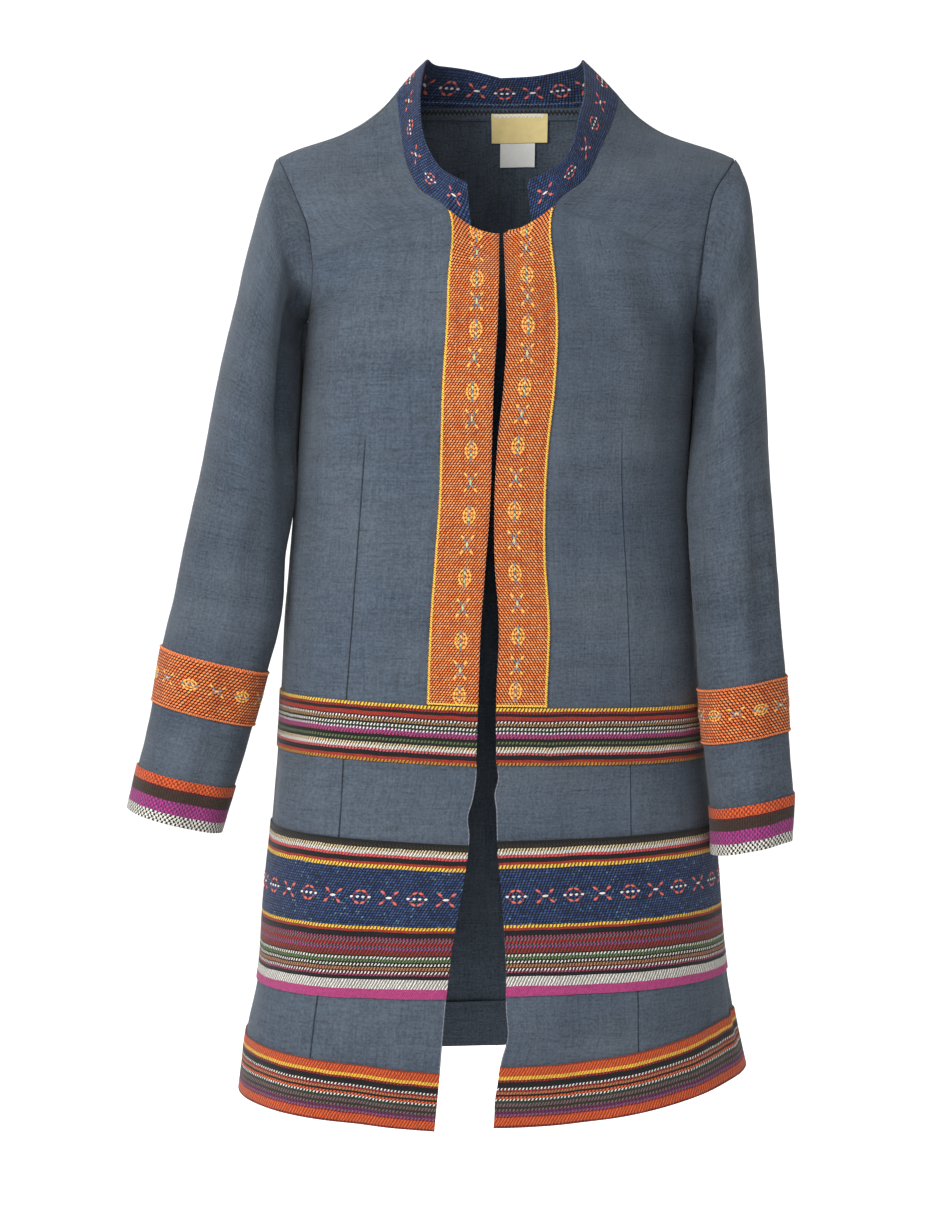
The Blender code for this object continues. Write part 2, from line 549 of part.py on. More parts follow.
def neckline(side, grids, number):
    """Points from the collar's front end along the neck to the centre back, and named places."""
    grid = grids[side]
    ra, rk = number["f_corner"], number["b_neck"]
    first = [grid[ra, c] for c in range(COLLAR_END, EXTRA + 1)]
    rise = [grid[r, EXTRA] for r in range(ra + 1, rk + 1)]
    back = [grid[rk, c] for c in range(EXTRA - 1, -1, -1)]
    place = {"end": 0, "band": EXTRA - COLLAR_END, "turn": len(first) + rk - ra - 1}
    for name in ("yoke_a", "yoke_b", "yoke_c", "seam"):
        place[name] = len(first) - 1 + number[name] - ra
    place["nape"] = place["turn"] + EXTRA // 2
    place["back"] = place["turn"] + EXTRA
    return np.array(first + rise + back), place


def make_collar(grids, norms, number):
    sides = []
    for side in "rl":
        base, place = neckline(side, grids, number)
        facing = neckline(side, norms, number)[0]
        run = np.concatenate([[0.0], np.cumsum(np.linalg.norm(np.diff(base, axis=0), axis=1))])
        tops = np.array([(x_l, y, z_l) if side == "l" else (x_r, y, z_r)
                         for _, x_r, x_l, y, z_r, z_l in COLLAR])
        top = smooth(run[[place[row[0]] for row in COLLAR]], tops, run)
        base = base + unit(top - base) * SEAM_GAP
        sides.append((base, top, facing))
    base, top, facing = (np.concatenate([sides[0][k], sides[1][k][::-1][1:]]) for k in range(3))
    t = np.linspace(0, 1, COLLAR_STEPS + 1)[:, None, None]
    grid = base[None] * (1 - t) + top[None] * t
    way = unit(corner_sum(grid))
    middle = np.array((BACK_X, 0.0, 0.0))
    if np.sum(way * (grid - middle)) < 0:
        way = -way
    way[0] = sharing(way[0], facing, COLLAR_TURN)
    solid("collar", grid - way * COLLAR_WALL, grid, False, "navy")


def back_depth(grids, number, x, z):
    """Depth of the back's outer face at a place near the centre."""
    side = "r" if x < BACK_X else "l"
    grid = grids[side][number["b_neck"]:, :EXTRA + 1]
    depth = [np.interp(abs(x - BACK_X), np.abs(row[:, 0] - BACK_X), row[:, 1]) for row in grid]
    height = [np.interp(abs(x - BACK_X), np.abs(row[:, 0] - BACK_X), row[:, 2]) for row in grid]
    return float(np.interp(-z, -np.array(height), depth))


def make_labels(grids, number):
    for name, (x0, x1, z0, z1), colour in (("label", LABEL, "label"), ("care_label", CARE_LABEL, "care")):
        xs, zs = np.linspace(x0, x1, LABEL_COLS), np.linspace(z0, z1, LABEL_ROWS)
        face = np.array([[(x, back_depth(grids, number, x, z), z) for x in xs] for z in zs])
        way = unit(corner_sum(face))
        if way[1, 1, 1] > 0:
            way = -way
        near = face + way * (WALL + LABEL_OFF)
        solid(name, near, near + way * LABEL_WALL, False, colour)


def build():
    for obj in list(bpy.data.objects):
        bpy.data.objects.remove(obj)
    place = bpy.data.collections.new(COLLECTION)
    bpy.context.scene.collection.children.link(place)
    for name, (rgb, rough) in COLOURS.items():
        mat = bpy.data.materials.new(name)
        mat.use_nodes = True
        shader = mat.node_tree.nodes["Principled BSDF"]
        shader.inputs["Base Color"].default_value = (*rgb, 1.0)
        shader.inputs["Roughness"].default_value = rough
        mat.diffuse_color = (*rgb, 1.0)
        materials[name] = mat
    return place


materials = {}
home = build()
body_grids, body_norms, row_number = both_halves()
make_body(body_grids, body_norms, row_number)
make_bands(body_grids, body_norms, row_number)
make_sleeves(body_grids, body_norms, row_number)
make_collar(body_grids, body_norms, row_number)
make_labels(body_grids, row_number)
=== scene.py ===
"""Long open-front jacket with woven trim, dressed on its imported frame.

Metres, +Z up, front facing -Y; "r" is the wearer's right (-X), "l" their left.
"""
import math
import bpy
import numpy as np
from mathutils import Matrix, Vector


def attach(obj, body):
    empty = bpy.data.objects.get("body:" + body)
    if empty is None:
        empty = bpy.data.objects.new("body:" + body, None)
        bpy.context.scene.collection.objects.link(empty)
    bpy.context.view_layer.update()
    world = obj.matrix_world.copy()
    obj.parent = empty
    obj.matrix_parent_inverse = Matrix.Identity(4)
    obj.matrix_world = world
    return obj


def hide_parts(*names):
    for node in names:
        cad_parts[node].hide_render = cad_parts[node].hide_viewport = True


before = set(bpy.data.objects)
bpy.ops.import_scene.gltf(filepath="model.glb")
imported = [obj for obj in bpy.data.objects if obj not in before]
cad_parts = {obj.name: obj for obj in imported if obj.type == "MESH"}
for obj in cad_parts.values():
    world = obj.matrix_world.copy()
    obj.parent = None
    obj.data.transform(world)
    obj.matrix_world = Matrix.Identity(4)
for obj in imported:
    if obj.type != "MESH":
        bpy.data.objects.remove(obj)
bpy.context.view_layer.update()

CLOTH = 0.0010           # body and sleeve cloth
COLLAR_WALL = 0.0022
BAND_WALL = 0.0010
LAY_GAP = 0.0005         # between a band and the cloth under it
SEAM_GAP = 0.0003
BAND_W = 0.0435          # front band; STRIP is the column at its outer edge
BACK_W = 0.080           # the same stretch of the back, beside its centre line
BACK_X = -0.003
EVEN_SHARE = 0.35        # how evenly points lie along a row
HEM_LIFT = 1.9           # how late the left hem rises toward the side
CORNER_RISE, CORNER_POWER = 0.0206, 1.9
BACK_NECK_RISE = 0.0015
STRIP, SIDE = 4.0, 15.0  # column numbers at the front band's outer edge and at the side seam
ROW_STEP = 0.0046        # cloth rows, up and down
RING_STEP = 0.0042       # the same on a sleeve
COLLAR_ROWS = 15
MOTIF_HIGH = 0.0007      # how far the motifs' yarn stands up
MOTIF_STEP = 0.0245      # between motifs round the skirt
CUFF_CHECK = (0.0046, 0.0023)  # pitch and height of the checks at the cuffs

# How far in the armhole allowance lies, from the body round to the sleeve
ARMHOLE_OFF = (0.0036, 0.0036, 0.0034, 0.0032, 0.0026, 0.0024, 0.0022)
# Lines of stitches: pitch, length and width of a stitch; the 'fold' line is pale yarn, a painted highlight along
# a front edge
STITCH = {
    "edge": (0.0032, 0.0024, 0.0007), "fold": (0.0038, 0.0044, 0.0010), "band": (0.0040, 0.0022, 0.0005),
    "top": (0.0033, 0.0031, 0.0007), "foot": (0.0036, 0.0026, 0.0006), "label": (0.0024, 0.0019, 0.0005),
}

# Front of the body, bottom to top.  zi, zo: height at the front edge and the side;
# e: front edge x; s: side x; yi, yo: depth at the edge and the side; p: roundness;
# d: column of the dart seam.
FRONT = [
    # name      zi_r     zi_l     zo_r     zo_l    e_r      e_l      s_r      s_l    yi      yo     p   d_r   d_l
    ("hem",    -.8880, -.8850, -.8755, -.8550, -.0614, -.0110, -.2372, .2150, -.130, .000, 2.4, 7.65, 7.68),
    ("hem_t",  -.8385, -.8330, -.8245, -.8040, -.0567, -.0060, -.2310, .2030, -.128, .000, 2.4, 7.82, 7.61),
    ("skirt_b", -.7750, -.7725, -.7760, -.7680, -.0513, -.0006, -.2206, .1975, -.126, .000, 2.4, 7.88, 7.50),
    ("skirt_m", -.7090, -.7062, -.7075, -.7018, -.0420, -.0025, -.2150, .1915, -.123, .000, 2.4, 7.92, 7.58),
    ("skirt_t", -.6436, -.6400, -.6363, -.6355, -.0318, -.0080, -.2077, .1865, -.120, .000, 2.4, 7.93, 7.76),
    ("hip_b",  -.5765, -.5755, -.5690, -.5770, -.0261, -.0086, -.2022, .1795, -.117, .000, 2.4, 8.07, 7.91),
    ("hip_t",  -.5265, -.5265, -.5190, -.5290, -.0242, -.0088, -.1992, .1755, -.115, .000, 2.4, 8.09, 8.03),
    ("waist",  -.4500, -.4500, -.4500, -.4520, -.0212, -.0066, -.1955, .1700, -.112, .000, 2.4, 7.98, 7.97),
    ("rib_a",  -.4000, -.4000, -.4000, -.4030, -.0175, -.0101, -.1909, .1670, -.112, .000, 2.4, 8.00, 8.02),
    ("rib_b",  -.3500, -.3500, -.3500, -.3540, -.0138, -.0102, -.1868, .1640, -.114, .000, 2.4, 7.97, 7.89),
    ("bust",   -.3000, -.3000, -.3000, -.3060, -.0123, -.0076, -.1828, .1635, -.116, .000, 2.4, 7.87, 7.74),
    ("chest",  -.2500, -.2520, -.2480, -.2600, -.0108, -.0025, -.1793, .1655, -.116, .000, 2.3, 7.90, 7.80),
    ("under",  -.2000, -.2020, -.1922, -.2130, -.0075, .0000, -.1743, .1666, -.112, .000, 2.3, 7.90, 7.90),
    ("arm",    -.1640, -.1640, -.1740, -.1860, -.0066, -.0010, -.1686, .1656, -.105, -.046, 1.9, 7.90, 7.90),
    ("corner", -.1236, -.1202, -.1430, -.1500, -.0062, -.0027, -.1674, .1680, -.093, -.060, 1.9, 7.90, 7.90),
]
DART_AT = 7.90           # dart column where no row says otherwise
DART_TOP = {"r": -0.284, "l": -0.288}

# Neckline to armhole, up and over the shoulder seam.  n*: neckline point; a*: armhole
# point; p: roundness; g: outward fullness; sag: hollow beside the neck.
YOKE = [
    # name    nx_r    ny     nz_r    nx_l   nz_l    ax_r    ay_r   az_r   ax_l   ay_l   az_l   p    g     sag
    ("yoke_a", -.0743, -.066, -.0819, .0687, -.0729, -.1722, -.056, -.113, .1742, -.056, -.113, 1.5, .006, .001),
    ("yoke_b", -.0862, -.045, -.0575, .0828, -.0445, -.1835, -.043, -.085, .1815, -.043, -.084, 1.2, .005, .005),
    ("yoke_c", -.0919, -.021, -.0247, .0935, -.0201, -.1940, -.023, -.062, .1950, -.023, -.063, 1.0, .002, .010),
    ("seam",   -.0951, .0030, .00740, .0999, .00470, -.2010, .0000, -.050, .2030, .0000, -.051, 1.0, .000, .012),
]
SAG_PEAK = 6.75

# Back of the body, top to bottom.  cz, cy: centre back; the rest as in FRONT.
BACK = [
    # name      cz      cy     zo_r     zo_l     s_r      s_l    yo     p
    ("neck",   .0030, .072, -.0720, -.0730, -.1900, .1910, .036, 1.7),
    ("blade_a", -.0350, .089, -.1080, -.1130, -.1760, .1770, .057, 1.9),
    ("blade_b", -.0880, .101, -.1460, -.1530, -.1690, .1690, .061, 2.0),
    ("blade_c", -.1420, .106, -.1740, -.1880, -.1692, .1660, .048, 2.1),
]

# Below the armhole the back meets the front at the side, so only its centre is given.
CENTRE_BACK = {
    "under":   (-0.2000, 0.106),
    "chest":   (-0.2500, 0.103),
    "bust":    (-0.3000, 0.099),
    "rib_b":   (-0.3500, 0.096),
    "rib_a":   (-0.4000, 0.096),
    "waist":   (-0.4500, 0.099),
    "hip_t":   (-0.5220, 0.106),
    "hip_b":   (-0.5720, 0.109),
    "skirt_t": (-0.6420, 0.114),
    "skirt_m": (-0.7080, 0.117),
    "skirt_b": (-0.7740, 0.120),
    "hem_t":   (-0.8150, 0.123),
    "hem":     (-0.8680, 0.127),
}
for name, (cz, cy) in CENTRE_BACK.items():
    _, _, _, zo_r, zo_l, _, _, s_r, s_l, _, yo, p, *_ = next(row for row in FRONT if row[0] == name)
    BACK.append((name, cz, cy, zo_r, zo_l, s_r, s_l, yo, p))

# Grid rows from each row beside the armhole to the next
ARM_ROWS = {"f_under": 8, "f_arm": 12, "f_corner": 12, "yoke_a": 8, "yoke_b": 8, "yoke_c": 8, "seam": 12,
            "b_neck": 12, "b_blade_a": 12, "b_blade_b": 8, "b_blade_c": 12}

# Sleeves, armhole to cuff.  ox, oz: outer side; ix, iz: underside; y: middle; d: half depth.
SLEEVE = {"r": [
    # name    ox      oz      ix      iz      y      d
    ("cap_a", .2073, -.0660, .1768, -.1970, -.004, .0640),
    ("cap_b", .2134, -.0846, .1774, -.2030, -.009, .0655),
    ("cap_c", .2205, -.1114, .1786, -.2110, -.014, .0660),
    ("arm_a", .2275, -.1381, .1782, -.2215, -.019, .0655),
    ("arm_b", .2354, -.1737, .1788, -.2385, -.023, .0645),
    ("arm_c", .2459, -.2182, .1801, -.2665, -.027, .0620),
    ("arm_d", .2553, -.2627, .1824, -.3015, -.030, .0590),
    ("elbow", .2654, -.3185, .1864, -.3494, -.033, .0560),
    ("fore_a", .2811, -.3863, .1930, -.4040, -.036, .0520),
    ("fore_b", .2909, -.4361, .1962, -.4530, -.039, .0490),
    ("band_t", .3007, -.4775, .2088, -.5010, -.042, .0460),
    ("band_b", .3089, -.5255, .2215, -.5482, -.045, .0440),
    ("wrist", .3156, -.5584, .2300, -.5776, -.048, .0430),
    ("cuff_t", .3214, -.5812, .2377, -.6014, -.050, .0420),
    ("cuff_b", .3299, -.6190, .2497, -.6408, -.052, .0410),
], "l": [
    # name    ox      oz      ix      iz      y      d
    ("cap_a", .2108, -.0667, .1688, -.2180, -.004, .0640),
    ("cap_b", .2153, -.0846, .1690, -.2235, -.010, .0650),
    ("cap_c", .2178, -.1114, .1684, -.2310, -.016, .0650),
    ("arm_a", .2201, -.1383, .1663, -.2410, -.021, .0645),
    ("arm_b", .2215, -.1740, .1651, -.2585, -.030, .0630),
    ("arm_c", .2244, -.2186, .1633, -.2850, -.036, .0605),
    ("arm_d", .2273, -.2629, .1622, -.3120, -.040, .0580),
    ("elbow", .2298, -.3184, .1620, -.3520, -.045, .0550),
    ("fore_a", .2337, -.3857, .1644, -.4050, -.052, .0510),
    ("fore_b", .2366, -.4378, .1662, -.4530, -.057, .0480),
    ("band_t", .2424, -.5012, .1685, -.5142, -.062, .0450),
    ("band_b", .2448, -.5489, .1722, -.5619, -.064, .0430),
    ("wrist", .2473, -.5810, .1760, -.5940, -.065, .0420),
    ("cuff_t", .2489, -.6030, .1785, -.6175, -.066, .0410),
    ("cuff_b", .2472, -.6434, .1803, -.6582, -.066, .0400),
]}
EVEN_BY = 6              # table row by which a sleeve's points lie evenly round it
SLEEVE_TURN, COLLAR_TURN = 8.0, 3.0  # how firmly the first ring and the collar's foot face as the body does

# Top edge of the collar against the neckline, front end to centre back.
COLLAR = [
    # at      x_r      x_l      y      z_r      z_l
    ("end",   -.0336, .0180, -.0860, -.0801, -.0784),
    ("band",  -.0439, .0395, -.0815, -.0745, -.0675),
    ("yoke_a", -.0604, .0582, -.0690, -.0617, -.0450),
    ("yoke_b", -.0720, .0642, -.0520, -.0368, -.0190),
    ("yoke_c", -.0755, .0700, -.0260, .0020, .0030),
    ("seam",  -.0715, .0705, .0080, .0335, .0326),
    ("turn",  -.0590, .0595, .0370, .0358, .0330),
    ("nape",  -.0340, .0300, .0520, .0342, .0288),
    ("back",  -.0030, -.0030, .0560, .0272, .0272),
]
COLLAR_END = 2.0         # column where the collar ends, short of the front edge

# Soft hollows and swells: column, half width in columns, heights that it grows from and to,
# depth outward.  On a sleeve the column is a place round it: 0 underneath, 0.25 front, 0.5 outer side.
FOLDS = {
    "front_r": [(5.2, 0.9, -0.020, -0.200, -0.0030), (8.5, 1.6, -0.560, -0.900, 0.0030),
        (5.5, 1.4, -0.600, -0.900, -0.0025)],
    "front_l": [(5.4, 0.9, -0.030, -0.190, -0.0025), (7.6, 1.5, -0.600, -0.900, 0.0030),
        (12.0, 1.1, -0.700, -0.880, -0.0035)],
    "back_r": [(3.5, 1.6, -0.420, -0.880, 0.0040), (8.0, 1.8, -0.380, -0.880, -0.0040)],
    "back_l": [(2.8, 1.5, -0.450, -0.880, -0.0030), (6.5, 1.7, -0.400, -0.880, 0.0045),
        (10.6, 1.6, -0.350, -0.880, -0.0040)],
    "sleeve_r": [(0.18, 0.05, -0.080, -0.330, -0.0040), (0.34, 0.05, -0.260, -0.480, 0.0030),
        (0.72, 0.06, -0.120, -0.440, -0.0040)],
    "sleeve_l": [(0.20, 0.05, -0.100, -0.340, -0.0040), (0.42, 0.04, -0.280, -0.500, 0.0040),
        (0.74, 0.06, -0.140, -0.460, -0.0040)],
}
FADE_RUN, FADE_LOSS = 0.8, 0.25  # share of a fold over which it grows, and how much of it is lost below

# Creases too small for the plain model: column and height of the middle, half width in
# columns, half height, lean in columns for each metre up, depth outward.  The deep ones
# underneath a sleeve pull it in behind the body.
CREASES = {
    "front_r": [(14.0, -0.150, 0.45, 0.060, 12.0, -0.0016), (13.2, -0.185, 0.50, 0.055, 22.0, 0.0012),
        (6.1, -0.140, 0.40, 0.080, 4.0, 0.0012), (4.7, -0.230, 0.35, 0.070, 2.0, -0.0010),
        (11.5, -0.430, 1.20, 0.050, -6.0, 0.0010), (13.6, -0.610, 0.70, 0.050, 2.0, -0.0014),
        (10.1, -0.615, 0.60, 0.040, -3.0, 0.0012), (6.6, -0.150, 0.90, 0.075, 4.0, -0.0040),
        (7.9, -0.165, 0.35, 0.065, 6.0, -0.0016), (9.4, -0.200, 1.10, 0.090, 0.0, 0.0026),
        (12.0, -0.300, 1.00, 0.120, 0.0, -0.0024)],
    "front_l": [(14.1, -0.160, 0.45, 0.060, -10.0, -0.0016), (13.0, -0.200, 0.50, 0.050, -20.0, 0.0012),
        (6.6, -0.120, 0.40, 0.070, -4.0, 0.0012), (12.4, -0.420, 1.10, 0.045, 8.0, 0.0011),
        (13.4, -0.480, 0.60, 0.060, 3.0, -0.0012), (12.9, -0.800, 0.35, 0.034, 2.0, 0.0022),
        (13.7, -0.802, 0.28, 0.032, 1.0, -0.0020), (14.4, -0.800, 0.30, 0.036, -1.0, 0.0020),
        (11.2, -0.806, 0.30, 0.026, 2.0, -0.0014), (6.2, -0.610, 0.60, 0.036, 3.0, 0.0010),
        (6.4, -0.160, 0.90, 0.075, -4.0, -0.0040), (8.6, -0.190, 0.90, 0.090, 0.0, 0.0028),
        (11.0, -0.230, 1.00, 0.110, 4.0, -0.0034)],
    "back_r": [(12.8, -0.180, 0.55, 0.070, 14.0, -0.0018), (6.0, -0.430, 1.60, 0.030, 9.0, -0.0014),
        (10.5, -0.480, 1.20, 0.035, 6.0, 0.0013), (2.0, -0.620, 0.80, 0.045, 2.0, 0.0012),
        (12.6, -0.830, 0.50, 0.036, 2.0, 0.0018)],
    "back_l": [(12.6, -0.190, 0.55, 0.070, -12.0, -0.0018), (7.4, -0.455, 1.50, 0.028, -8.0, -0.0014),
        (11.5, -0.430, 1.10, 0.040, -7.0, 0.0013), (8.8, -0.610, 0.70, 0.045, -2.0, -0.0014),
        (5.0, -0.800, 0.50, 0.030, -3.0, 0.0016)],
    "sleeve_r": [(0.30, -0.120, 0.030, 0.050, 0.25, -0.0016), (0.22, -0.165, 0.035, 0.050, 0.30, 0.0014),
        (0.26, -0.330, 0.060, 0.022, 1.6, -0.0016), (0.24, -0.372, 0.060, 0.020, -1.4, 0.0013),
        (0.16, -0.405, 0.070, 0.018, 1.8, -0.0014), (0.66, -0.350, 0.060, 0.022, -1.5, -0.0016),
        (0.78, -0.300, 0.050, 0.030, 0.9, 0.0015), (0.40, -0.560, 0.050, 0.018, 0.4, 0.0010),
        (0.070, -0.250, 0.060, 0.072, 0.0, -0.0260), (0.93, -0.200, 0.045, 0.014, 0.0, 0.0038),
        (0.86, -0.300, 0.055, 0.080, 0.0, 0.0160), (0.86, -0.235, 0.055, 0.035, 0.0, 0.0070),
        (0.00, -0.345, 0.050, 0.030, 0.0, 0.0030), (0.30, -0.240, 0.045, 0.090, 0.1, 0.0030)],
    "sleeve_l": [(0.31, -0.125, 0.030, 0.055, -0.20, -0.0016), (0.16, -0.190, 0.035, 0.050, 0.25, 0.0014),
        (0.22, -0.345, 0.060, 0.022, -1.5, -0.0016), (0.28, -0.395, 0.060, 0.020, 1.3, 0.0014),
        (0.18, -0.440, 0.060, 0.020, -1.2, -0.0012), (0.68, -0.360, 0.060, 0.022, 1.4, -0.0016),
        (0.80, -0.310, 0.050, 0.030, -0.8, 0.0015), (0.36, -0.590, 0.050, 0.018, -0.4, 0.0010),
        (0.060, -0.246, 0.056, 0.058, 0.0, -0.0240), (0.93, -0.218, 0.045, 0.014, 0.0, 0.0038),
        (0.85, -0.258, 0.050, 0.060, 0.0, 0.0160), (0.85, -0.325, 0.050, 0.040, 0.0, 0.0060),
        (0.02, -0.345, 0.050, 0.060, 0.0, 0.0042), (0.02, -0.430, 0.050, 0.050, 0.0, 0.0034),
        (0.33, -0.400, 0.045, 0.110, 0.0, -0.0042), (0.56, -0.330, 0.050, 0.110, 0.0, -0.0030)],
}

# Small waves of the front edges below the bands down them: height, half length, move sideways.
EDGE_WAVES = {
    "r": [(-0.6200, 0.011, -0.0034), (-0.5850, 0.012, 0.0012), (-0.7300, 0.016, -0.0010)],
    "l": [(-0.5860, 0.008, 0.0016), (-0.6010, 0.008, -0.0018), (-0.8070, 0.018, 0.0044),
          (-0.8620, 0.010, -0.0010)],
}
CORNER_ROUND = 0.005     # top corner of the left front band

# Labels as seen from the front: left, right, low and high edge
LABEL = (-0.0118, 0.0396, -0.0265, -0.0010)
CARE_LABEL = (-0.0035, 0.0286, -0.0480, -0.0270)


def lengths(points):
    """Running length along a line of points."""
    return np.concatenate([[0.0], np.cumsum(np.linalg.norm(np.diff(points, axis=0), axis=1))])


def unit(v):
    """Vectors at length one."""
    return v / np.maximum(np.linalg.norm(v, axis=-1, keepdims=True), 1e-12)


def smooth(knots, values, at):
    """Curve through values at the knots, read off at other places."""
    knots, values, at = np.asarray(knots), np.asarray(values), np.asarray(at)
    slope = np.gradient(values, knots, axis=0)
    k = np.clip(np.searchsorted(knots, at, side="right") - 1, 0, len(knots) - 2)
    h = (knots[k + 1] - knots[k]).reshape(-1, *([1] * (values.ndim - 1)))
    t = ((at - knots[k]).reshape(h.shape)) / h
    a = 2 * t**3 - 3 * t**2 + 1
    b = t**3 - 2 * t**2 + t
    return a * values[k] + b * h * slope[k] + (1 - a) * values[k + 1] + (t**3 - t**2) * h * slope[k + 1]


def read_curve(curve, edge, cols):
    """Points of a fine curve at grid columns; edge is the length at column STRIP."""
    run = lengths(curve)
    want = np.where(cols < STRIP, cols / STRIP * edge,
                    edge + (cols - STRIP) / (SIDE - STRIP) * (run[-1] - edge))
    return np.stack([np.interp(want, run, curve[:, k]) for k in range(3)], axis=1)


def row_across(start, end, power, strip, cols, rise=0.0, rise_power=1.0, lift=1.0):
    """A row from the front edge or centre back to the side."""
    q = np.sin(np.linspace(0, np.pi / 2, 400)) ** (2 / power)
    q = np.linspace(0, 1, 400) * EVEN_SHARE + q * (1 - EVEN_SHARE)
    q[0], q[-1] = 0.0, 1.0
    x = start[0] + (end[0] - start[0]) * q
    y = end[1] + (start[1] - end[1]) * np.clip(1 - q**power, 0, 1) ** (1 / power)
    w = np.abs(x - start[0]) / strip
    if rise:
        u = np.clip((np.abs(x - start[0]) - strip) / (abs(end[0] - start[0]) - strip), 0, 1)
        z = start[2] + rise * np.clip(w, 0, 1) ** rise_power + (end[2] - start[2] - rise) * u
    else:
        z = start[2] + (end[2] - start[2]) * q**lift
    curve = np.stack([x, y, z], axis=1)
    return read_curve(curve, np.interp(1.0, w, lengths(curve)), cols)


def row_yoke(start, end, power, full, sag, cols):
    """A row from the neckline to the armhole; columns before the neckline are left out."""
    u = np.linspace(0, 1, 400)
    curve = start + (end - start) * u[:, None]
    curve[:, 1] = end[1] + (start[1] - end[1]) * (1 - u**power) ** (1 / power) - full * np.sin(np.pi * u)
    curve[:, 2] -= sag * SAG_PEAK * u * (1 - u) ** 2
    pts = read_curve(curve, 0.0, cols)
    pts[cols < STRIP] = np.nan
    return pts


def toward(cols, place):
    """Columns shifted so that the dart column falls at place."""
    return np.where(cols <= STRIP, cols,
                    np.where(cols < DART_AT, STRIP + (cols - STRIP) * (place - STRIP) / (DART_AT - STRIP),
                             SIDE - (SIDE - cols) * (SIDE - place) / (SIDE - DART_AT)))


# Columns: close together where a seam runs, evenly spread between.
COLS = np.array(sorted(set(
    [0.0, 0.10, 0.22, 0.40] + [round(c, 3) for c in np.linspace(0.7, 3.7, 10)] + [3.86, STRIP, 4.12]
    + [round(c, 3) for c in np.linspace(4.35, 7.6, 14)] + [7.76, 7.865, DART_AT, 7.935, 8.04]
    + [round(c, 3) for c in np.linspace(8.3, 14.6, 27)] + [14.78, 14.9, SIDE])))
AT_STRIP = int(np.argmin(np.abs(COLS - STRIP)))
AT_DART = int(np.argmin(np.abs(COLS - DART_AT)))
AT_END = int(np.argmin(np.abs(COLS - COLLAR_END)))
NEAR_SEAM = (0.0016, 0.0034)  # rows beside the shoulder seam


def body_rows(side, cols):
    """Table rows as points, from the front hem over the shoulder to the back hem."""
    left = side == "l"
    rows = {}
    for name, zi_r, zi_l, zo_r, zo_l, e_r, e_l, s_r, s_l, yi, yo, p, d_r, d_l in FRONT:
        start = (e_l, yi, zi_l) if left else (e_r, yi, zi_r)
        end = (s_l, yo, zo_l) if left else (s_r, yo, zo_r)
        use = toward(cols, d_l if left else d_r) if len(cols) > 1 else cols
        if name == "corner":
            rows["f_" + name] = row_across(start, end, p, BAND_W, use, CORNER_RISE, CORNER_POWER)
        else:
            lift = HEM_LIFT if left and name[:3] == "hem" else 1.0
            rows["f_" + name] = row_across(start, end, p, BAND_W, use, lift=lift)
    for name, nxr, ny, nzr, nxl, nzl, axr, ayr, azr, axl, ayl, azl, p, g, sag in YOKE:
        start = np.array((nxl, ny, nzl) if left else (nxr, ny, nzr))
        end = np.array((axl, ayl, azl) if left else (axr, ayr, azr))
        rows[name] = row_yoke(start, end, p, g, sag, cols)
    for name, cz, cy, zo_r, zo_l, s_r, s_l, yo, p in BACK:
        end = (s_l, yo, zo_l) if left else (s_r, yo, zo_r)
        rise = BACK_NECK_RISE if name == "neck" else 0.0
        rows["b_" + name] = row_across((BACK_X, cy, cz), end, p, BACK_W, cols, rise, 2.0)
    return rows


def run_on(pts, knots, row, way):
    """A made-up row past the neck end of the first columns, so that they bend like the next one."""
    share = (COLS[:AT_STRIP, None] / STRIP) ** 2
    last_step = pts[row, :AT_STRIP] - pts[row - way, :AT_STRIP]
    straight = last_step * (knots[row + way] - knots[row]) / (knots[row] - knots[row - way])
    bent = pts[row + way, AT_STRIP] - pts[row, AT_STRIP]
    return (pts[row, :AT_STRIP] + share * bent + (1 - share) * straight)[None]


def body_grid(side):
    """Fine grid of the half body, the row number of each table row, and the real columns."""
    rows = body_rows(side, COLS)
    names, pts = list(rows), np.stack(list(rows.values()))
    knots = lengths(np.stack([row[0] for row in body_rows(side, np.array([9.0])).values()]))
    front_z = {row[0]: row[1] for row in FRONT}
    at = []
    for i, (a, b) in enumerate(zip(names, names[1:])):
        steps = ARM_ROWS.get(a) or math.ceil(abs(front_z[a[2:]] - front_z[b[2:]]) / ROW_STEP)
        at += list(np.linspace(knots[i], knots[i + 1], steps + 1)[:-1])
    top = knots[names.index("seam")]
    at += [knots[-1]] + [top + s * d for d in NEAR_SEAM for s in (-1, 1)]
    at = np.array(sorted(at))
    number = {name: int(np.argmin(np.abs(at - knot))) for name, knot in zip(names, knots)}
    grid = np.full((len(at), len(COLS), 3), np.nan)
    grid[:, AT_STRIP:] = smooth(knots, pts[:, AT_STRIP:], at)
    # the first columns stop at the neck, front and back
    a, k = names.index("f_corner"), names.index("b_neck")
    ra, rk = number["f_corner"], number["b_neck"]
    ahead, behind = run_on(pts, knots, a, 1), run_on(pts, knots, k, -1)
    grid[:ra + 1, :AT_STRIP] = smooth(knots[:a + 2], np.concatenate([pts[:a + 1, :AT_STRIP], ahead]), at[:ra + 1])
    grid[rk:, :AT_STRIP] = smooth(knots[k - 1:], np.concatenate([behind, pts[k:, :AT_STRIP]]), at[rk:])
    last = len(at) - 1
    for r in range(number["f_under"] + 1):
        grid[r, -1] = grid[last - r, -1] = (grid[r, -1] + grid[last - r, -1]) / 2
    darts = np.interp(at, knots[:len(FRONT)], [row[13 if side == "l" else 12] for row in FRONT])
    return grid, number, at, np.stack([toward(COLS, d) for d in darts])


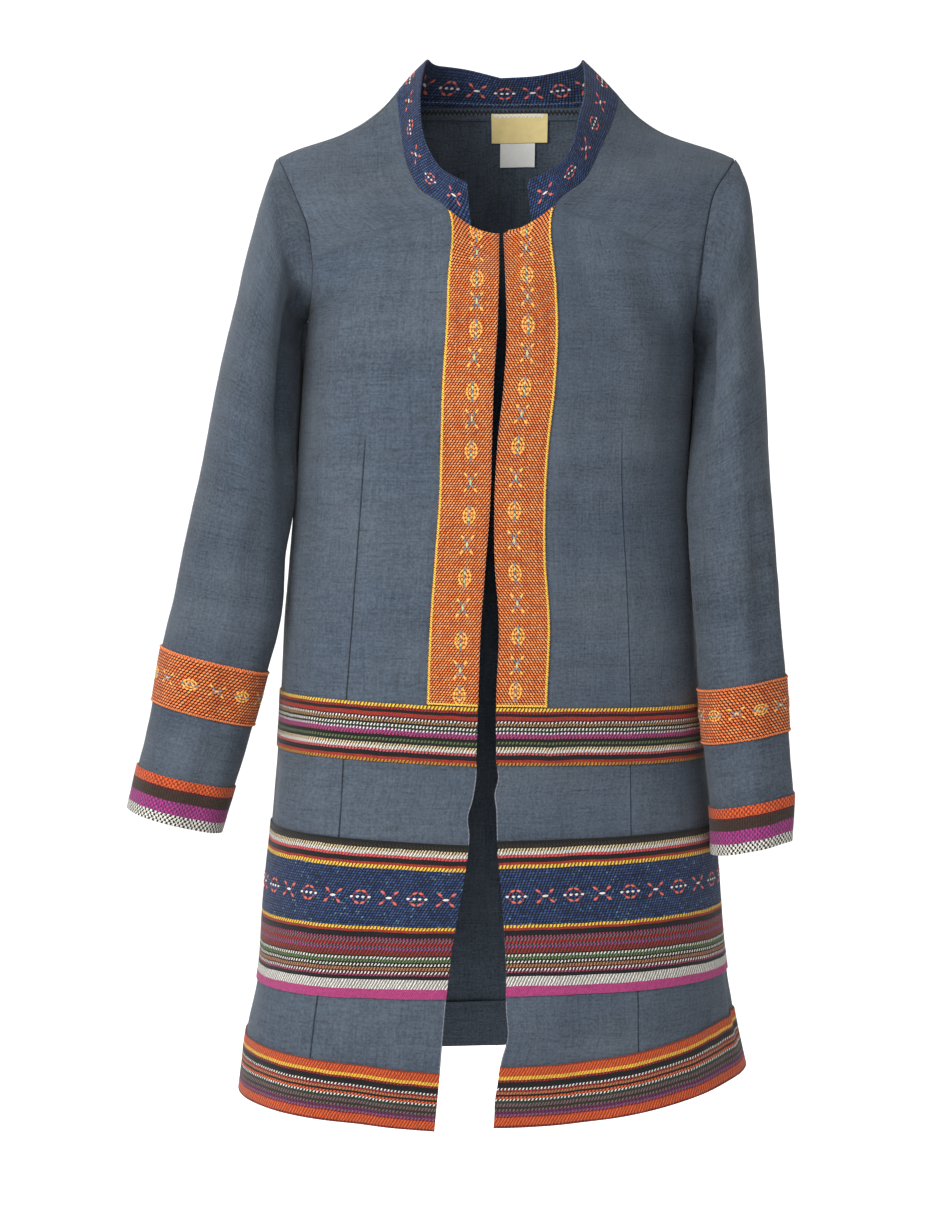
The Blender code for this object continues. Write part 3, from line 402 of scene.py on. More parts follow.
def corner_sum(grid):
    """Outward directions summed at every grid point from the cells round it."""
    total = np.zeros_like(grid)
    face = np.nan_to_num(np.cross(grid[1:, 1:] - grid[:-1, :-1], grid[1:, :-1] - grid[:-1, 1:]))
    for rs, cs in ((slice(None, -1), slice(None, -1)), (slice(None, -1), slice(1, None)),
                   (slice(1, None), slice(1, None)), (slice(1, None), slice(None, -1))):
        total[rs, cs] += face
    return total


def fade(z, hi, lo):
    """0 above hi, growing softly on the way down to lo."""
    t = np.clip((hi - z) / (hi - lo), 0, 1)
    return np.sin(np.pi * np.clip(t / FADE_RUN, 0, 1) / 2) ** 2 * (1 - FADE_LOSS * t)


# Uneven waves of the cloth: how many to a metre across and up, and share
RIPPLES = ((9, 4, 0.34), (15, -7, 0.26), (23, 11, 0.18), (31, -19, 0.12), (6, 17, 0.10))


def ripple(a, b, seed):
    """Slow uneven waves, about -1 to 1, over two lengths in metres."""
    total = np.zeros(np.broadcast(a, b).shape)
    for k, (fa, fb, w) in enumerate(RIPPLES):
        total = total + w * np.sin(2 * np.pi * (fa * a + fb * b) + seed * (1.7 + k)
                                   + 1.3 * np.sin(5.1 * b * fa + k))
    return total


def folded(piece, across, z, wrap=False):
    """Outward moves of a piece by its folds and creases; wrap joins column 0 to column 1 round a sleeve."""
    lift = np.zeros(z.shape)
    for c, w, z_hi, z_lo, depth in FOLDS[piece]:
        lift += depth * np.exp(-((across - c) / w) ** 2) * fade(z, z_hi, z_lo)
    for c, zc, w, h, lean, depth in CREASES[piece]:
        off = across - c - lean * (z - zc)
        if wrap:
            off = (off + 0.5) % 1.0 - 0.5
        lift += depth * np.exp(-(off / w) ** 2 - ((z - zc) / h) ** 2)
    return lift


def facings(grids, below, neck):
    """Outward directions of both halves, equal along the side seams and the centre back."""
    norms = {"r": -corner_sum(grids["r"]), "l": corner_sum(grids["l"])}
    for n in norms.values():
        front, back = slice(0, below + 1), slice(-1, -below - 2, -1)
        n[front, -1] = n[back, -1] = n[front, -1] + n[back, -1]
    norms["r"][neck:, 0] = norms["l"][neck:, 0] = norms["r"][neck:, 0] + norms["l"][neck:, 0]
    return {side: unit(n) for side, n in norms.items()}


def both_halves():
    """Grids and outward directions of both halves, equal along every seam."""
    grids, real = {}, {}
    for side in "rl":
        grids[side], number, at, real[side] = body_grid(side)
    below, top, corner, neck = (number[name] for name in ("f_under", "seam", "f_corner", "b_neck"))
    norms = facings(grids, below, neck)
    from_seams = (np.clip(SIDE - COLS, 0, 1) * np.clip(COLS / 0.6, 0, 1)) ** 0.5
    from_shoulder = np.clip(np.abs(at - at[top]) / 0.02, 0, 1)
    edge = np.clip(1 - COLS / 5.0, 0, 1) ** 1.5
    for side in "rl":
        lift = np.zeros(grids[side].shape[:2])
        for part, rows in (("front", slice(0, top + 1)), ("back", slice(top, None))):
            lift[rows] += folded(f"{part}_{side}", real[side][rows], np.nan_to_num(grids[side][rows, :, 2]))
        lift += 0.0005 * ripple(COLS * 0.016, at[:, None], 1.0 if side == "r" else 4.2)
        lift *= from_seams * from_shoulder[:, None]
        grids[side] = grids[side] + lift[:, :, None] * norms[side]
        front = grids[side][:number["f_hip_b"] + 1]
        for zc, h, dx in EDGE_WAVES[side]:
            front[:, :, 0] += dx * np.exp(-((front[:, :1, 2] - zc) / h) ** 2) * edge
    for r in range(corner - 4, corner + 1):
        gap = min(max(CORNER_ROUND - (at[corner] - at[r]), 0.0), CORNER_ROUND)
        move = CORNER_ROUND - math.sqrt(CORNER_ROUND**2 - gap**2)
        grids["l"][r, :AT_STRIP, 0] += move * np.clip(1 - COLS[:AT_STRIP] / 2.0, 0, 1)
    return grids, facings(grids, below, neck), number, at


# Depth of the groove on a seam line, and how far the cloth beside it swells
GROOVE, SWELL = 0.0009, 0.0003
DART_GROOVE, DART_FADE = 0.0017, 0.03


def seam_relief(side, number, at, grid):
    """Small outward moves of the cloth at its seams: a groove on the line, a faint swell beside it."""
    top, neck = number["seam"], number["b_neck"]
    relief = np.zeros(grid.shape[:2])
    relief[:, -1] -= GROOVE
    relief[:, -3] += 0.0002
    beside = np.abs(at - at[top])
    shoulder = -GROOVE * np.exp(-(beside / 0.0011) ** 2) + SWELL * np.exp(-((beside - 0.004) / 0.002) ** 2)
    relief += shoulder[:, None]
    relief[neck:, 0] -= GROOVE
    relief[neck:, 2] += 0.0002
    grow = np.clip((DART_TOP[side] - np.nan_to_num(grid[:top + 1, AT_DART, 2])) / DART_FADE, 0, 1)
    toward_side = 1 if side == "r" else -1
    for step, d in ((-1, -0.0004), (0, -DART_GROOVE), (1, 0.0004)):
        relief[:top + 1, AT_DART + step * toward_side] += d * grow
    return relief


def quads_of(grid):
    """The four corners of every cell of a grid, cell by cell."""
    return np.stack([grid[:-1, :-1], grid[:-1, 1:], grid[1:, 1:], grid[1:, :-1]], 2)


def turned_out(verts, faces, spots):
    """Faces and spots of a closed mesh, turned over if its volume comes out negative."""
    p = verts[faces]
    size = np.einsum("ij,ij->", p[:, 0], np.cross(p[:, 1], p[:, 2]) + np.cross(p[:, 2], p[:, 3]))
    return (faces[:, ::-1], spots[:, ::-1]) if size < 0 else (faces, spots)


def shell(name, face, way, depth, uv, mats, closed=False, inner=0):
    """Thin closed sheet: face is its outer grid, depth its thickness against way.

    uv has one more column than face where closed.  inner is the material slot of the inside.
    """
    ok = ~np.isnan(face[..., 0])
    half = int(ok.sum())
    ids = np.full(ok.shape, -1)
    ids[ok] = np.arange(half)
    if closed:
        ids = np.append(ids, ids[:, :1], axis=1)
    verts = np.concatenate([face[ok], (face - way * depth)[ok]])
    quads, spots = quads_of(ids).reshape(-1, 4), quads_of(uv).reshape(-1, 4, 2)
    keep = (quads >= 0).all(axis=1)
    quads, spots = quads[keep], spots[keep]
    # the rim joins both sides along every edge that only one cell has
    a, b = quads.reshape(-1), np.roll(quads, -1, axis=1).reshape(-1)
    ends = np.stack([spots, np.roll(spots, -1, axis=1)], 2).reshape(-1, 2, 2)
    rim = ~np.isin(a * (2 * half) + b, b * (2 * half) + a)
    a, b, ends = a[rim], b[rim], ends[rim]
    faces = np.concatenate([quads, quads[:, ::-1] + half, np.stack([b, a, a + half, b + half], -1)])
    spots = np.concatenate([spots, spots[:, ::-1], ends[:, [1, 0, 0, 1]]])
    slots = np.repeat((0, inner, 0), (len(quads), len(quads), len(a)))
    return make_mesh(name, verts, *turned_out(verts, faces, spots), slots, mats)


def in_scene(name, data):
    """A new object in the scene."""
    obj = bpy.data.objects.new(name, data)
    bpy.context.scene.collection.objects.link(obj)
    return obj


def make_mesh(name, verts, faces, spots, slots, mats, angle=50):
    """A mesh object; spots are the places of its corners in the weave, angle makes an edge sharp."""
    mesh = bpy.data.meshes.new(name)
    mesh.from_pydata(verts.tolist(), [], faces.tolist())
    mesh.polygons.foreach_set("use_smooth", [True] * len(faces))
    mesh.polygons.foreach_set("material_index", np.asarray(slots, dtype=np.int32))
    mesh.uv_layers.new(name="UVMap").data.foreach_set("uv", np.asarray(spots, dtype=np.float32).reshape(-1))
    for mat in mats:
        mesh.materials.append(mat)
    mesh.update()
    mesh.set_sharp_from_angle(angle=math.radians(angle))
    return in_scene(name, mesh)


class Patch:
    """A strip of cloth that trim is laid on: points, facings, and lengths along it and across it."""

    def __init__(self, points, way):
        self.points, self.way = points, way
        self.u = np.mean([lengths(row) for row in points], axis=0)
        self.v = np.mean([lengths(points[:, c]) for c in range(points.shape[1])], axis=0)
        self.long, self.high = self.u[-1], self.v[-1]

    def at(self, u, v):
        """Point and facing at lengths along and across."""
        i = np.interp(u, self.u, np.arange(len(self.u)))
        j = np.interp(v, self.v, np.arange(len(self.v)))
        i0, j0 = np.minimum(i.astype(int), len(self.u) - 2), np.minimum(j.astype(int), len(self.v) - 2)
        fi, fj = (i - i0)[..., None], (j - j0)[..., None]
        out = []
        for g in (self.points, self.way):
            out.append(g[j0, i0] * (1 - fi) * (1 - fj) + g[j0, i0 + 1] * fi * (1 - fj)
                       + g[j0 + 1, i0] * (1 - fi) * fj + g[j0 + 1, i0 + 1] * fi * fj)
        return out[0], unit(out[1])

    def uv(self):
        return np.stack(np.meshgrid(self.u, self.v), axis=-1)


class Threads:
    """Short raised floats of yarn and stitches, gathered into one piece."""

    LONG, WIDE = np.meshgrid(np.linspace(-1, 1, 5), np.linspace(-1, 1, 3), indexing="ij")
    CELLS = 8

    def __init__(self):
        self.verts, self.faces, self.slots, self.spots = [], [], [], []
        self.count = 0

    def lay(self, patch, rows, high=0.0005):
        """rows: along, across, length, width, turn in degrees from along, slot; in metres."""
        rows = np.asarray(rows, dtype=float)
        if not len(rows):
            return
        s, t = self.LONG, self.WIDE
        along, across, long_, wide, turn = rows.T[:5, :, None, None]
        turn = np.radians(turn)
        a = s * long_ / 2
        b = t * np.sqrt(1 - 0.75 * s**2) * wide / 2
        p, n = patch.at(along + a * np.cos(turn) - b * np.sin(turn),
                        across + a * np.sin(turn) + b * np.cos(turn))
        dome = np.sqrt(np.clip(1 - 0.96 * s**2, 0, 1)) * (1 - t**2)
        p = (p + n * (high * dome - 0.0001)[..., None]).reshape(-1, 3)
        n = n.reshape(-1, 3)
        ids = np.arange(len(p)).reshape(-1, *s.shape)
        quads = np.stack([ids[:, :-1, :-1], ids[:, 1:, :-1], ids[:, 1:, 1:], ids[:, :-1, 1:]], -1).reshape(-1, 4)
        q = p[quads]
        up = np.einsum("ij,ij->i", np.cross(q[:, 1] - q[:, 0], q[:, 3] - q[:, 0]), n[quads[:, 0]])
        quads = np.where((up < 0)[:, None], quads[:, ::-1], quads)
        self.verts.append(p)
        self.spots.append(np.stack([a, b], -1).reshape(-1, 2)[quads].reshape(-1, 2))
        self.faces.append(quads + self.count)
        self.slots.append(np.repeat(rows[:, 5].astype(int), self.CELLS))
        self.count += len(p)

    def piece(self, name, mats):
        """All the rows laid so far, as one mesh object."""
        return make_mesh(name, np.concatenate(self.verts), np.concatenate(self.faces),
                         np.concatenate(self.spots), np.concatenate(self.slots), mats, angle=80)


def done(obj, node=None):
    """Put a piece on the frame, and hide the imported part that it stands for, where one is named."""
    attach(obj, "root")
    if node:
        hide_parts(node)


def sewn(patch, across, kind, slot=0):
    """A line of stitches along a patch."""
    pitch, length, width = STITCH[kind]
    return [(x, across, length, width, 0.0, slot) for x in np.arange(0.002, patch.long - 0.002, pitch)]


def overlocked(patch, across, length, width):
    """A zigzag of thread along a raw edge."""
    u = np.arange(0.003, patch.long - 0.003, 0.0019)
    return [(x, across, length, width, 62.0 if k % 2 else -62.0, 0) for k, x in enumerate(u)]


def beaded(patch, across, pitch, length, width, turn, slots):
    """A twisted cord-like edge: slanted floats side by side."""
    u = np.arange(0.001, patch.long - 0.0008, pitch)
    return [(x, across, length, width, turn, slots[k % len(slots)]) for k, x in enumerate(u)]


def srgb(r, g, b):
    """Linear colour from display values, 0 to 255."""
    out = []
    for c in (r, g, b):
        c = c / 255
        out.append(c / 12.92 if c <= 0.04045 else ((c + 0.055) / 1.055) ** 2.4)
    return (*out, 1.0)


class Cloth:
    """A material being wired up, with short calls for its nodes."""

    def __init__(self, name, rough=0.85, sheen=0.15):
        self.mat = bpy.data.materials.new(name)
        self.mat.use_nodes = True
        self.tree = self.mat.node_tree
        self.sockets = self.tree.nodes["Principled BSDF"].inputs
        for socket, value in (("Roughness", rough), ("Specular IOR Level", 0.25), ("Sheen Weight", sheen),
                              ("Sheen Roughness", 0.6)):
            self.sockets[socket].default_value = value
        self.u, self.v = self.node("SeparateXYZ", self.node("UVMap", uv_map="UVMap"), out=slice(0, 2))

    def put(self, value, socket):
        """Link an output to a socket, or set the socket to a value."""
        if isinstance(value, bpy.types.NodeSocket):
            self.tree.links.new(value, socket)
        else:
            socket.default_value = value

    def node(self, kind, *values, out=0, **named):
        """Output of a new node.  values go to its first inputs, a named one with a capital to the
        input of that name, and any other is a setting."""
        n = self.tree.nodes.new("ShaderNode" + kind)
        for name, value in named.items():
            if name[0].isupper():
                self.put(value, n.inputs[name])
            else:
                setattr(n, name, value)
        for value, socket in zip(values, n.inputs):
            self.put(value, socket)
        return n.outputs[out]

    def math(self, what, a, b=0.0):
        return self.node("Math", a, b, operation=what)

    def add(self, a, b):
        return self.math("ADD", a, b)

    def less(self, a, b):
        return self.math("SUBTRACT", a, b)

    def times(self, a, b):
        return self.math("MULTIPLY", a, b)

    def over(self, a, b):
        return self.math("DIVIDE", a, b)

    def above(self, a, b):
        return self.math("GREATER_THAN", a, b)

    def in_cell(self, x):
        """Place within a whole cell, -0.5 to 0.5."""
        return self.less(self.math("FRACT", x), 0.5)

    def total(self, *terms):
        """Sum of values, each times its weight."""
        out = None
        for value, weight in terms:
            part = self.times(value, weight)
            out = part if out is None else self.add(out, part)
        return out

    def spot(self, x, y, seed=0.0):
        return self.node("CombineXYZ", x, y, seed)

    def noise(self, across, up, seed, detail=2.0, rough=0.5):
        """Noise with so many lumps a metre across and up; about 0 to 1."""
        place = self.spot(self.times(self.u, across), self.times(self.v, up), seed)
        return self.node("TexNoise", Vector=place, Scale=1.0, Detail=detail, Roughness=rough)

    def sway(self, across, up, seed, detail=2.0, rough=0.5):
        """The same noise spread to about -0.5 to 0.5."""
        return self.span(self.noise(across, up, seed, detail, rough), 0.3, 0.7, -0.5, 0.5)

    def fleck(self, x, y, seed=0.0):
        """One random value to each whole cell of x and y."""
        return self.node("TexWhiteNoise", self.spot(self.math("FLOOR", x), self.math("FLOOR", y), seed),
                         noise_dimensions="3D")

    def span(self, value, lo, hi, to_lo=0.0, to_hi=1.0):
        return self.node("MapRange", value, lo, hi, to_lo, to_hi)

    def mix(self, fac, a, b):
        """Colour a where fac is 0 and b where it is 1."""
        n = self.tree.nodes.new("ShaderNodeMix")
        n.data_type = "RGBA"
        for value, k in ((fac, 0), (a, 6), (b, 7)):
            self.put(value, n.inputs[k])
        return n.outputs[2]

    def shade(self, colour, amount):
        """Colour made lighter or darker by a factor."""
        return self.node("HueSaturation", Color=colour, Value=amount)

    def ramp(self, value, stops, steps=False):
        """Colours along a value, in steps or blended."""
        n = self.tree.nodes.new("ShaderNodeValToRGB")
        n.color_ramp.interpolation = "CONSTANT" if steps else "LINEAR"
        bars = n.color_ramp.elements
        while len(bars) > 1:
            bars.remove(bars[-1])
        bars[0].position, bars[0].color = stops[0]
        for at, colour in stops[1:]:
            bars.new(at).color = colour
        self.put(value, n.inputs[0])
        return n.outputs[0]

    def done(self, colour, height=None, distance=0.0004, strength=0.6, rough=None):
        """The material, with its colour, its relief and its roughness."""
        self.put(colour, self.sockets["Base Color"])
        if rough is not None:
            self.put(rough, self.sockets["Roughness"])
        if height is not None:
            bump = self.node("Bump", Height=height, Strength=strength, Distance=distance)
            self.put(bump, self.sockets["Normal"])
        return self.mat


def slate_cloth(name, seed, dim=1.0):
    """Plain-weave slate cotton: soft tone bands both ways, slubs along both yarns, a fine crepe."""
    c = Cloth(name, 0.92, 0.10)
    bands = c.sway(1.5, 36.0, seed, 3.0, 0.6)
    streaks = c.sway(34.0, 2.0, seed + 2, 2.0)
    patchy = c.sway(10.0, 13.0, seed + 3, 3.0)
    weft = c.sway(40.0, 640.0, seed + 7, 1.0)
    warp = c.sway(620.0, 45.0, seed + 13, 1.0)
    crepe = c.sway(440.0, 480.0, seed + 17, 1.0, 0.6)
    long_slub = c.span(c.noise(60.0, 560.0, seed + 11, 1.0), 0.62, 0.74)
    tall_slub = c.span(c.noise(520.0, 26.0, seed + 19, 1.0), 0.63, 0.75)
    pale_slub = c.span(c.noise(70.0, 600.0, seed + 23, 1.0), 0.64, 0.76)
    tone = c.total((bands, 0.24), (streaks, 0.16), (patchy, 0.20), (weft, 0.20), (warp, 0.20), (crepe, 0.46),
                   (long_slub, -0.20), (tall_slub, -0.16), (pale_slub, 0.18))
    colour = c.mix(c.add(patchy, 0.5), srgb(71, 82, 96), srgb(77, 86, 96))
    # dim below 1 makes a darker copy of the same cloth: painted shade
    colour = c.shade(colour, c.add(tone, dim))
    lift = c.total((crepe, 0.6), (weft, 0.4), (warp, 0.4), (pale_slub, 0.5), (long_slub, -0.4),
                   (tall_slub, -0.4))
    return c.done(colour, lift, 0.0005, 0.55, c.span(crepe, -0.5, 0.5, 0.86, 0.98))


def floats(c, wide, tall, lean, seed):
    """Slanting yarn floats laid like bricks: 1 on one and 0 between, its roundness, and a number for each."""
    y = c.over(c.v, tall)
    row = c.math("FLOOR", y)
    wander = c.times(c.sway(90.0, 50.0, seed + 31, 1.0), 0.25)
    x = c.add(c.over(c.u, wide), c.add(c.times(row, lean), wander))
    fy = c.in_cell(y)
    tilt = c.add(c.in_cell(x), c.times(fy, 0.35))
    dome = c.less(1.0, c.total((c.times(tilt, tilt), 4.0), (c.times(fy, fy), 2.9)))
    return c.span(dome, 0.34, 0.62), dome, c.fleck(x, row, seed)


def brocade(name, light, mid, dark, streak, seed, wide=0.0027, tall=0.0021, lean=0.5, streaks=0.5):
    """Coarse band cloth: regular slanting floats over a dark ground, with streaks along the warp."""
    c = Cloth(name, 0.85, 0.10)
    on, dome, pick = floats(c, wide, tall, lean, seed)
    streaky = c.span(c.noise(620.0, 11.0, seed + 3, 2.0), 0.54, 0.70, 0.0, streaks)
    colour = c.mix(on, dark, c.mix(streaky, c.mix(pick, mid, light), streak))
    tone = c.total((c.sway(14.0, 22.0, seed + 5, 3.0), 0.10), (c.sway(700.0, 700.0, seed + 7, 1.0), 0.12))
    return c.done(c.shade(colour, c.add(tone, 1.0)), dome, 0.0006, 0.7, c.span(on, 0, 1, 0.95, 0.82))


# Yarn colours
INK = {
    "yellow": srgb(242, 200, 66), "gold": srgb(186, 130, 40), "orange": srgb(222, 96, 44),
    "rust": srgb(140, 52, 30), "red": srgb(172, 42, 40), "wine": srgb(82, 26, 34), "black": srgb(24, 22, 24),
    "coal": srgb(42, 42, 40), "pink": srgb(176, 66, 112), "rose": srgb(206, 92, 96),
    "magenta": srgb(172, 58, 128), "purple": srgb(100, 44, 96), "mauve": srgb(124, 96, 98),
    "tan": srgb(176, 130, 84), "cream": srgb(226, 204, 158), "white": srgb(230, 226, 216),
    "grey": srgb(120, 118, 116), "green": srgb(48, 68, 50), "leaf": srgb(98, 124, 70),
    "olive": srgb(50, 44, 34), "brown": srgb(58, 42, 34), "navy": srgb(32, 50, 90), "blue": srgb(58, 84, 132),
    "teal": srgb(92, 132, 152), "deep": srgb(6, 9, 20), "mint": srgb(176, 214, 160),
    "sky": srgb(104, 122, 140), "coral": srgb(226, 104, 76), "amber": srgb(246, 190, 84),
    "dusk": srgb(176, 120, 108),
}

# How the dots of a stripe are laid: share that is lit, offset, and how many more to a pitch
DOTS = {"": (0.0, 0.0, 0.0, 1.0), "dots": (0.42, 0.0, 0.0, 1.0), "dots_off": (0.42, 0.5, 0.0, 1.0),
        "bead": (0.66, 0.0, 0.0, 1.0), "check": (0.50, 0.0, 0.0, 1.0), "hatch": (0.54, 0.25, 0.15, 1.0)}
DOT_PITCH = 0.0031
DOT_LEAN = 0.0062        # height over which the floats lean by one pitch
FLOAT_HIGH = 0.0012
CORD_HIGH = 0.0036       # height of the faint ribs along a band
RAMP_STOPS = 28          # a colour ramp holds few more


def striped(name, rows, high, seed, field=None, pitch=DOT_PITCH, brick=0.0):
    """Woven stripes, bottom to top.  rows: height share, colour, dot colour, how the dots are laid.

    field is (low, high) in shares of the height, for a stretch of slanting blue floats.
    brick, where given, is the height after which the dots move over by half a pitch.
    """
    c = Cloth(name, 0.88, 0.10)
    wave = c.total((c.sway(55.0, 30.0, seed, 2.0), 0.0006), (c.sway(12.0, 4.0, seed + 6, 2.0), 0.0009))
    height = c.add(c.v, wave)
    v = c.over(height, high)
    bottoms = np.cumsum([0.0] + [row[0] for row in rows[:-1]]) / sum(row[0] for row in rows)
    looks = None
    for k in range(0, len(rows), RAMP_STOPS):
        part = list(zip(bottoms, rows))[k:k + RAMP_STOPS]
        more = [c.ramp(v, [(z, colours[row[i]]) for z, row in part], True)
                for i, colours in ((1, INK), (2, INK), (3, DOTS))]
        over = c.above(v, part[0][0])
        looks = [c.mix(over, *pair) for pair in zip(looks, more)] if looks else more
    base, dots, laid = looks
    share, offset, more = c.node("SeparateColor", laid, out=slice(0, 3))
    # floats slant one way; dots take every second one
    slant = c.total((c.u, 1 / pitch), (height, 0.0 if brick else 1 / DOT_LEAN),
                    (c.sway(150.0, 500.0, seed + 9, 1.0), 0.20))
    x = c.add(c.times(slant, c.add(more, 1.0)), offset)
    if brick:
        x = c.add(x, c.times(c.math("FLOOR", c.over(height, brick)), 0.5))
    mask = c.math("LESS_THAN", c.math("FRACT", x), share)
    across, up = c.times(slant, 2.0), c.over(height, FLOAT_HIGH)
    fx, fy = c.math("ABSOLUTE", c.in_cell(across)), c.math("ABSOLUTE", c.in_cell(up))
    dome = c.less(1.0, c.math("MAXIMUM", c.times(fx, 1.7), c.times(fy, 1.2)))
    # gap darkens each float toward its edges and lightens its top: painted shade between the floats and a painted
    # highlight on them
    gap = c.span(dome, 0.12, 0.55, 0.30, 1.14)
    speck = c.total((c.less(c.fleck(across, up, seed), 0.5), 0.30), (c.sway(10.0, 8.0, seed + 2, 2.0), 0.10))
    colour = c.shade(c.mix(mask, base, dots), c.add(gap, speck))
    if field:
        blue, float_dome = blue_floats(c, seed)
        inner = c.times(c.above(v, field[0]), c.math("LESS_THAN", v, field[1]))
        colour = c.mix(inner, colour, blue)
        dome = c.add(c.times(dome, c.less(1.0, inner)), c.times(float_dome, inner))
    cords = c.math("SINE", c.times(height, 2 * math.pi / CORD_HIGH))
    lift = c.total((dome, 1.0), (cords, 0.25), (mask, 0.4))
    return c.done(colour, lift, 0.0006, 0.7, c.span(gap, 0.6, 1.0, 0.96, 0.84))


def blue_floats(c, seed):
    """Colour and roundness of the blue stretch, with rare teal floats and dark streaks."""
    on, dome, pick = floats(c, 0.0028, 0.0022, 0.36, seed + 2)
    rare = c.above(c.fleck(c.times(c.u, 420.0), c.times(c.v, 600.0), seed), 0.975)
    blue = c.mix(rare, c.mix(pick, INK["navy"], INK["blue"]), INK["teal"])
    dim = c.span(c.noise(20.0, 420.0, seed + 5, 1.0), 0.58, 0.74, 0.0, 0.55)
    blue = c.mix(on, INK["deep"], c.mix(dim, blue, INK["deep"]))
    return c.shade(blue, c.add(c.times(c.sway(14.0, 30.0, seed + 4, 2.0), 0.16), 1.0)), dome


def yarn(name, colour, seed=0.0, vary=0.12):
    """Smooth yarn with a twist that catches the light."""
    c = Cloth(name, 0.6, 0.2)
    twist = c.math("SINE", c.add(c.times(c.u, 5200.0), c.times(c.v, 3600.0)))
    # the twist also lightens and darkens the colour a little: painted light and shade along the twist
    tone = c.add(c.span(c.noise(500.0, 500.0, seed, 1.0), 0.3, 0.7, -vary, vary), c.times(twist, 0.05))
    return c.done(c.shade(colour, c.add(tone, 1.0)), twist, 0.0002, 0.4)


def plain(name, colour, seed, across=900.0, up=900.0, vary=0.10, rough=0.8):
    """Fine flat weave for labels, tape and linings."""
    c = Cloth(name, rough, 0.1)
    warp = c.math("SINE", c.times(c.u, 2 * math.pi * across))
    weft = c.math("SINE", c.times(c.v, 2 * math.pi * up))
    weave = c.times(warp, weft)
    # the weave also lightens and darkens the colour a little: painted light and shade over the weave
    tone = c.add(c.span(c.noise(120.0, 120.0, seed, 3.0), 0.3, 0.7, -vary, vary), c.times(weave, 0.05))
    return c.done(c.shade(colour, c.add(tone, 1.0)), weave, 0.0002, 0.5,
                  c.span(weave, -1, 1, rough - 0.06, rough + 0.1))


def stripes(text):
    """Woven stripes, top to bottom: height share, colour, dot colour, how the dots are laid."""
    rows = []
    for row in text.split(","):
        share, colour, *dots = row.split()
        rows.append((float(share), colour, *(dots or (colour, ""))))
    return rows


HIP_STRIPES = stripes("""
    3.2 wine yellow bead, 2.4 wine red hatch, 2.8 black, 3.4 red rust hatch, 1.2 wine, 2.0 black white dots,
    2.6 coal tan hatch, 1.8 black, 2.2 green white dots_off, 1.8 black green check, 2.0 purple white dots,
    2.8 pink purple hatch, 1.4 wine pink check, 3.0 black, 2.4 coal leaf dots, 2.6 black coal check,
    2.6 coal cream hatch, 2.8 grey white hatch, 2.4 wine rose bead, 4.6 black, 2.4 red rust check,
    2.8 wine gold bead
""")
SKIRT_STRIPES = stripes("""
    3.0 black, 2.0 black olive dots, 2.2 olive black check, 2.8 coal cream hatch, 3.2 grey white hatch,
    2.8 red rose check, 5.0 black, 2.4 red rust check, 3.2 wine yellow bead, 55.0 navy,
    3.2 wine yellow bead, 2.4 red rust check, 5.4 black, 1.8 black pink dots, 3.0 mauve wine check,
    3.4 red wine check, 1.8 coal mauve dots_off, 2.4 navy pink dots, 2.4 wine rust check,
    2.6 wine rust dots, 1.2 black, 2.4 green white dots, 2.6 coal leaf hatch, 1.4 black,
    2.2 black white dots_off, 1.6 black, 2.6 wine tan hatch, 1.4 wine, 2.2 black white dots,
    2.0 wine pink check, 3.2 black, 8.6 grey white hatch, 8.8 magenta pink hatch
""")
HEM_STRIPES = stripes("""
    1.4 rust, 7.6 rust orange hatch, 3.4 gold yellow hatch, 2.2 red wine check, 5.6 black,
    2.2 coal white dots, 2.0 red wine check, 2.4 rust tan hatch, 2.0 black, 2.4 wine orange bead,
    2.2 coal white dots_off, 2.6 green coal check, 3.4 coal mauve hatch, 2.2 olive, 2.4 coal mauve check,
    2.8 purple wine check, 2.2 purple mauve dots, 1.4 wine red check, 8.0 rust orange hatch,
    2.0 wine rust check
""")
CUFF_STRIPES = stripes("""
    8.4 rust orange hatch, 1.4 wine, 9.0 brown, 10.6 purple magenta hatch, 8.6 coal white hatch
""")

# Woven motifs, charted in millimetres: along the band, across it, length, width,
# turn from along, colour.  Each is mirrored across both lines where its row says so.
# Colours 0 to 2 are those of the list that goes with the band.
CROSS = [
    # along across long wide turn colour mirror
    (0.0, 0.0, 5.2, 2.0, 0, 0, ""),
    (3.6, 2.0, 4.2, 1.7, 34, 1, "xy"),
    (6.6, 4.3, 4.4, 2.1, 36, 2, "xy"),
]
RING = [
    (7.4, 0.0, 3.2, 2.6, 0, 1, "x"),
    (5.7, 2.7, 4.0, 2.0, -44, 2, "xy"),
    (2.1, 4.6, 3.8, 2.1, -18, 2, "xy"),
    (3.6, 0.0, 2.8, 2.0, 0, 0, "x"),
    (1.7, 2.1, 2.8, 1.7, -32, 2, "xy"),
    (0.0, 0.0, 2.6, 1.8, 0, 1, ""),
]
SKIRT_CROSS = [
    (0.0, 0.0, 5.4, 2.3, 0, 0, ""),
    (3.7, 2.4, 3.0, 1.5, 40, 1, "xy"),
    (5.9, 4.6, 4.6, 2.4, 34, 2, "xy"),
]
SKIRT_RING = [
    (2.4, 0.0, 2.9, 2.3, 0, 0, "x"),
    (7.7, 0.0, 2.9, 2.3, 0, 0, "x"),
    (2.6, 4.9, 4.3, 2.3, -22, 2, "xy"),
    (5.6, 2.5, 3.2, 1.7, -44, 1, "xy"),
]


def motif(chart, along, across, size=1.0):
    """Rows for Threads.lay from a chart, at a place on the band."""
    rows = []
    for a, b, long_, wide, turn, colour, mirror in chart:
        spots = {(1, 1)}
        if "x" in mirror:
            spots |= {(-sa, sb) for sa, sb in spots}
        if "y" in mirror:
            spots |= {(sa, -sb) for sa, sb in spots}
        for sa, sb in sorted(spots):
            rows.append((along + sa * a * size / 1000, across + sb * b * size / 1000, long_ * size / 1000,
                         wide * size / 1000, turn * sa * sb, colour))
    return rows


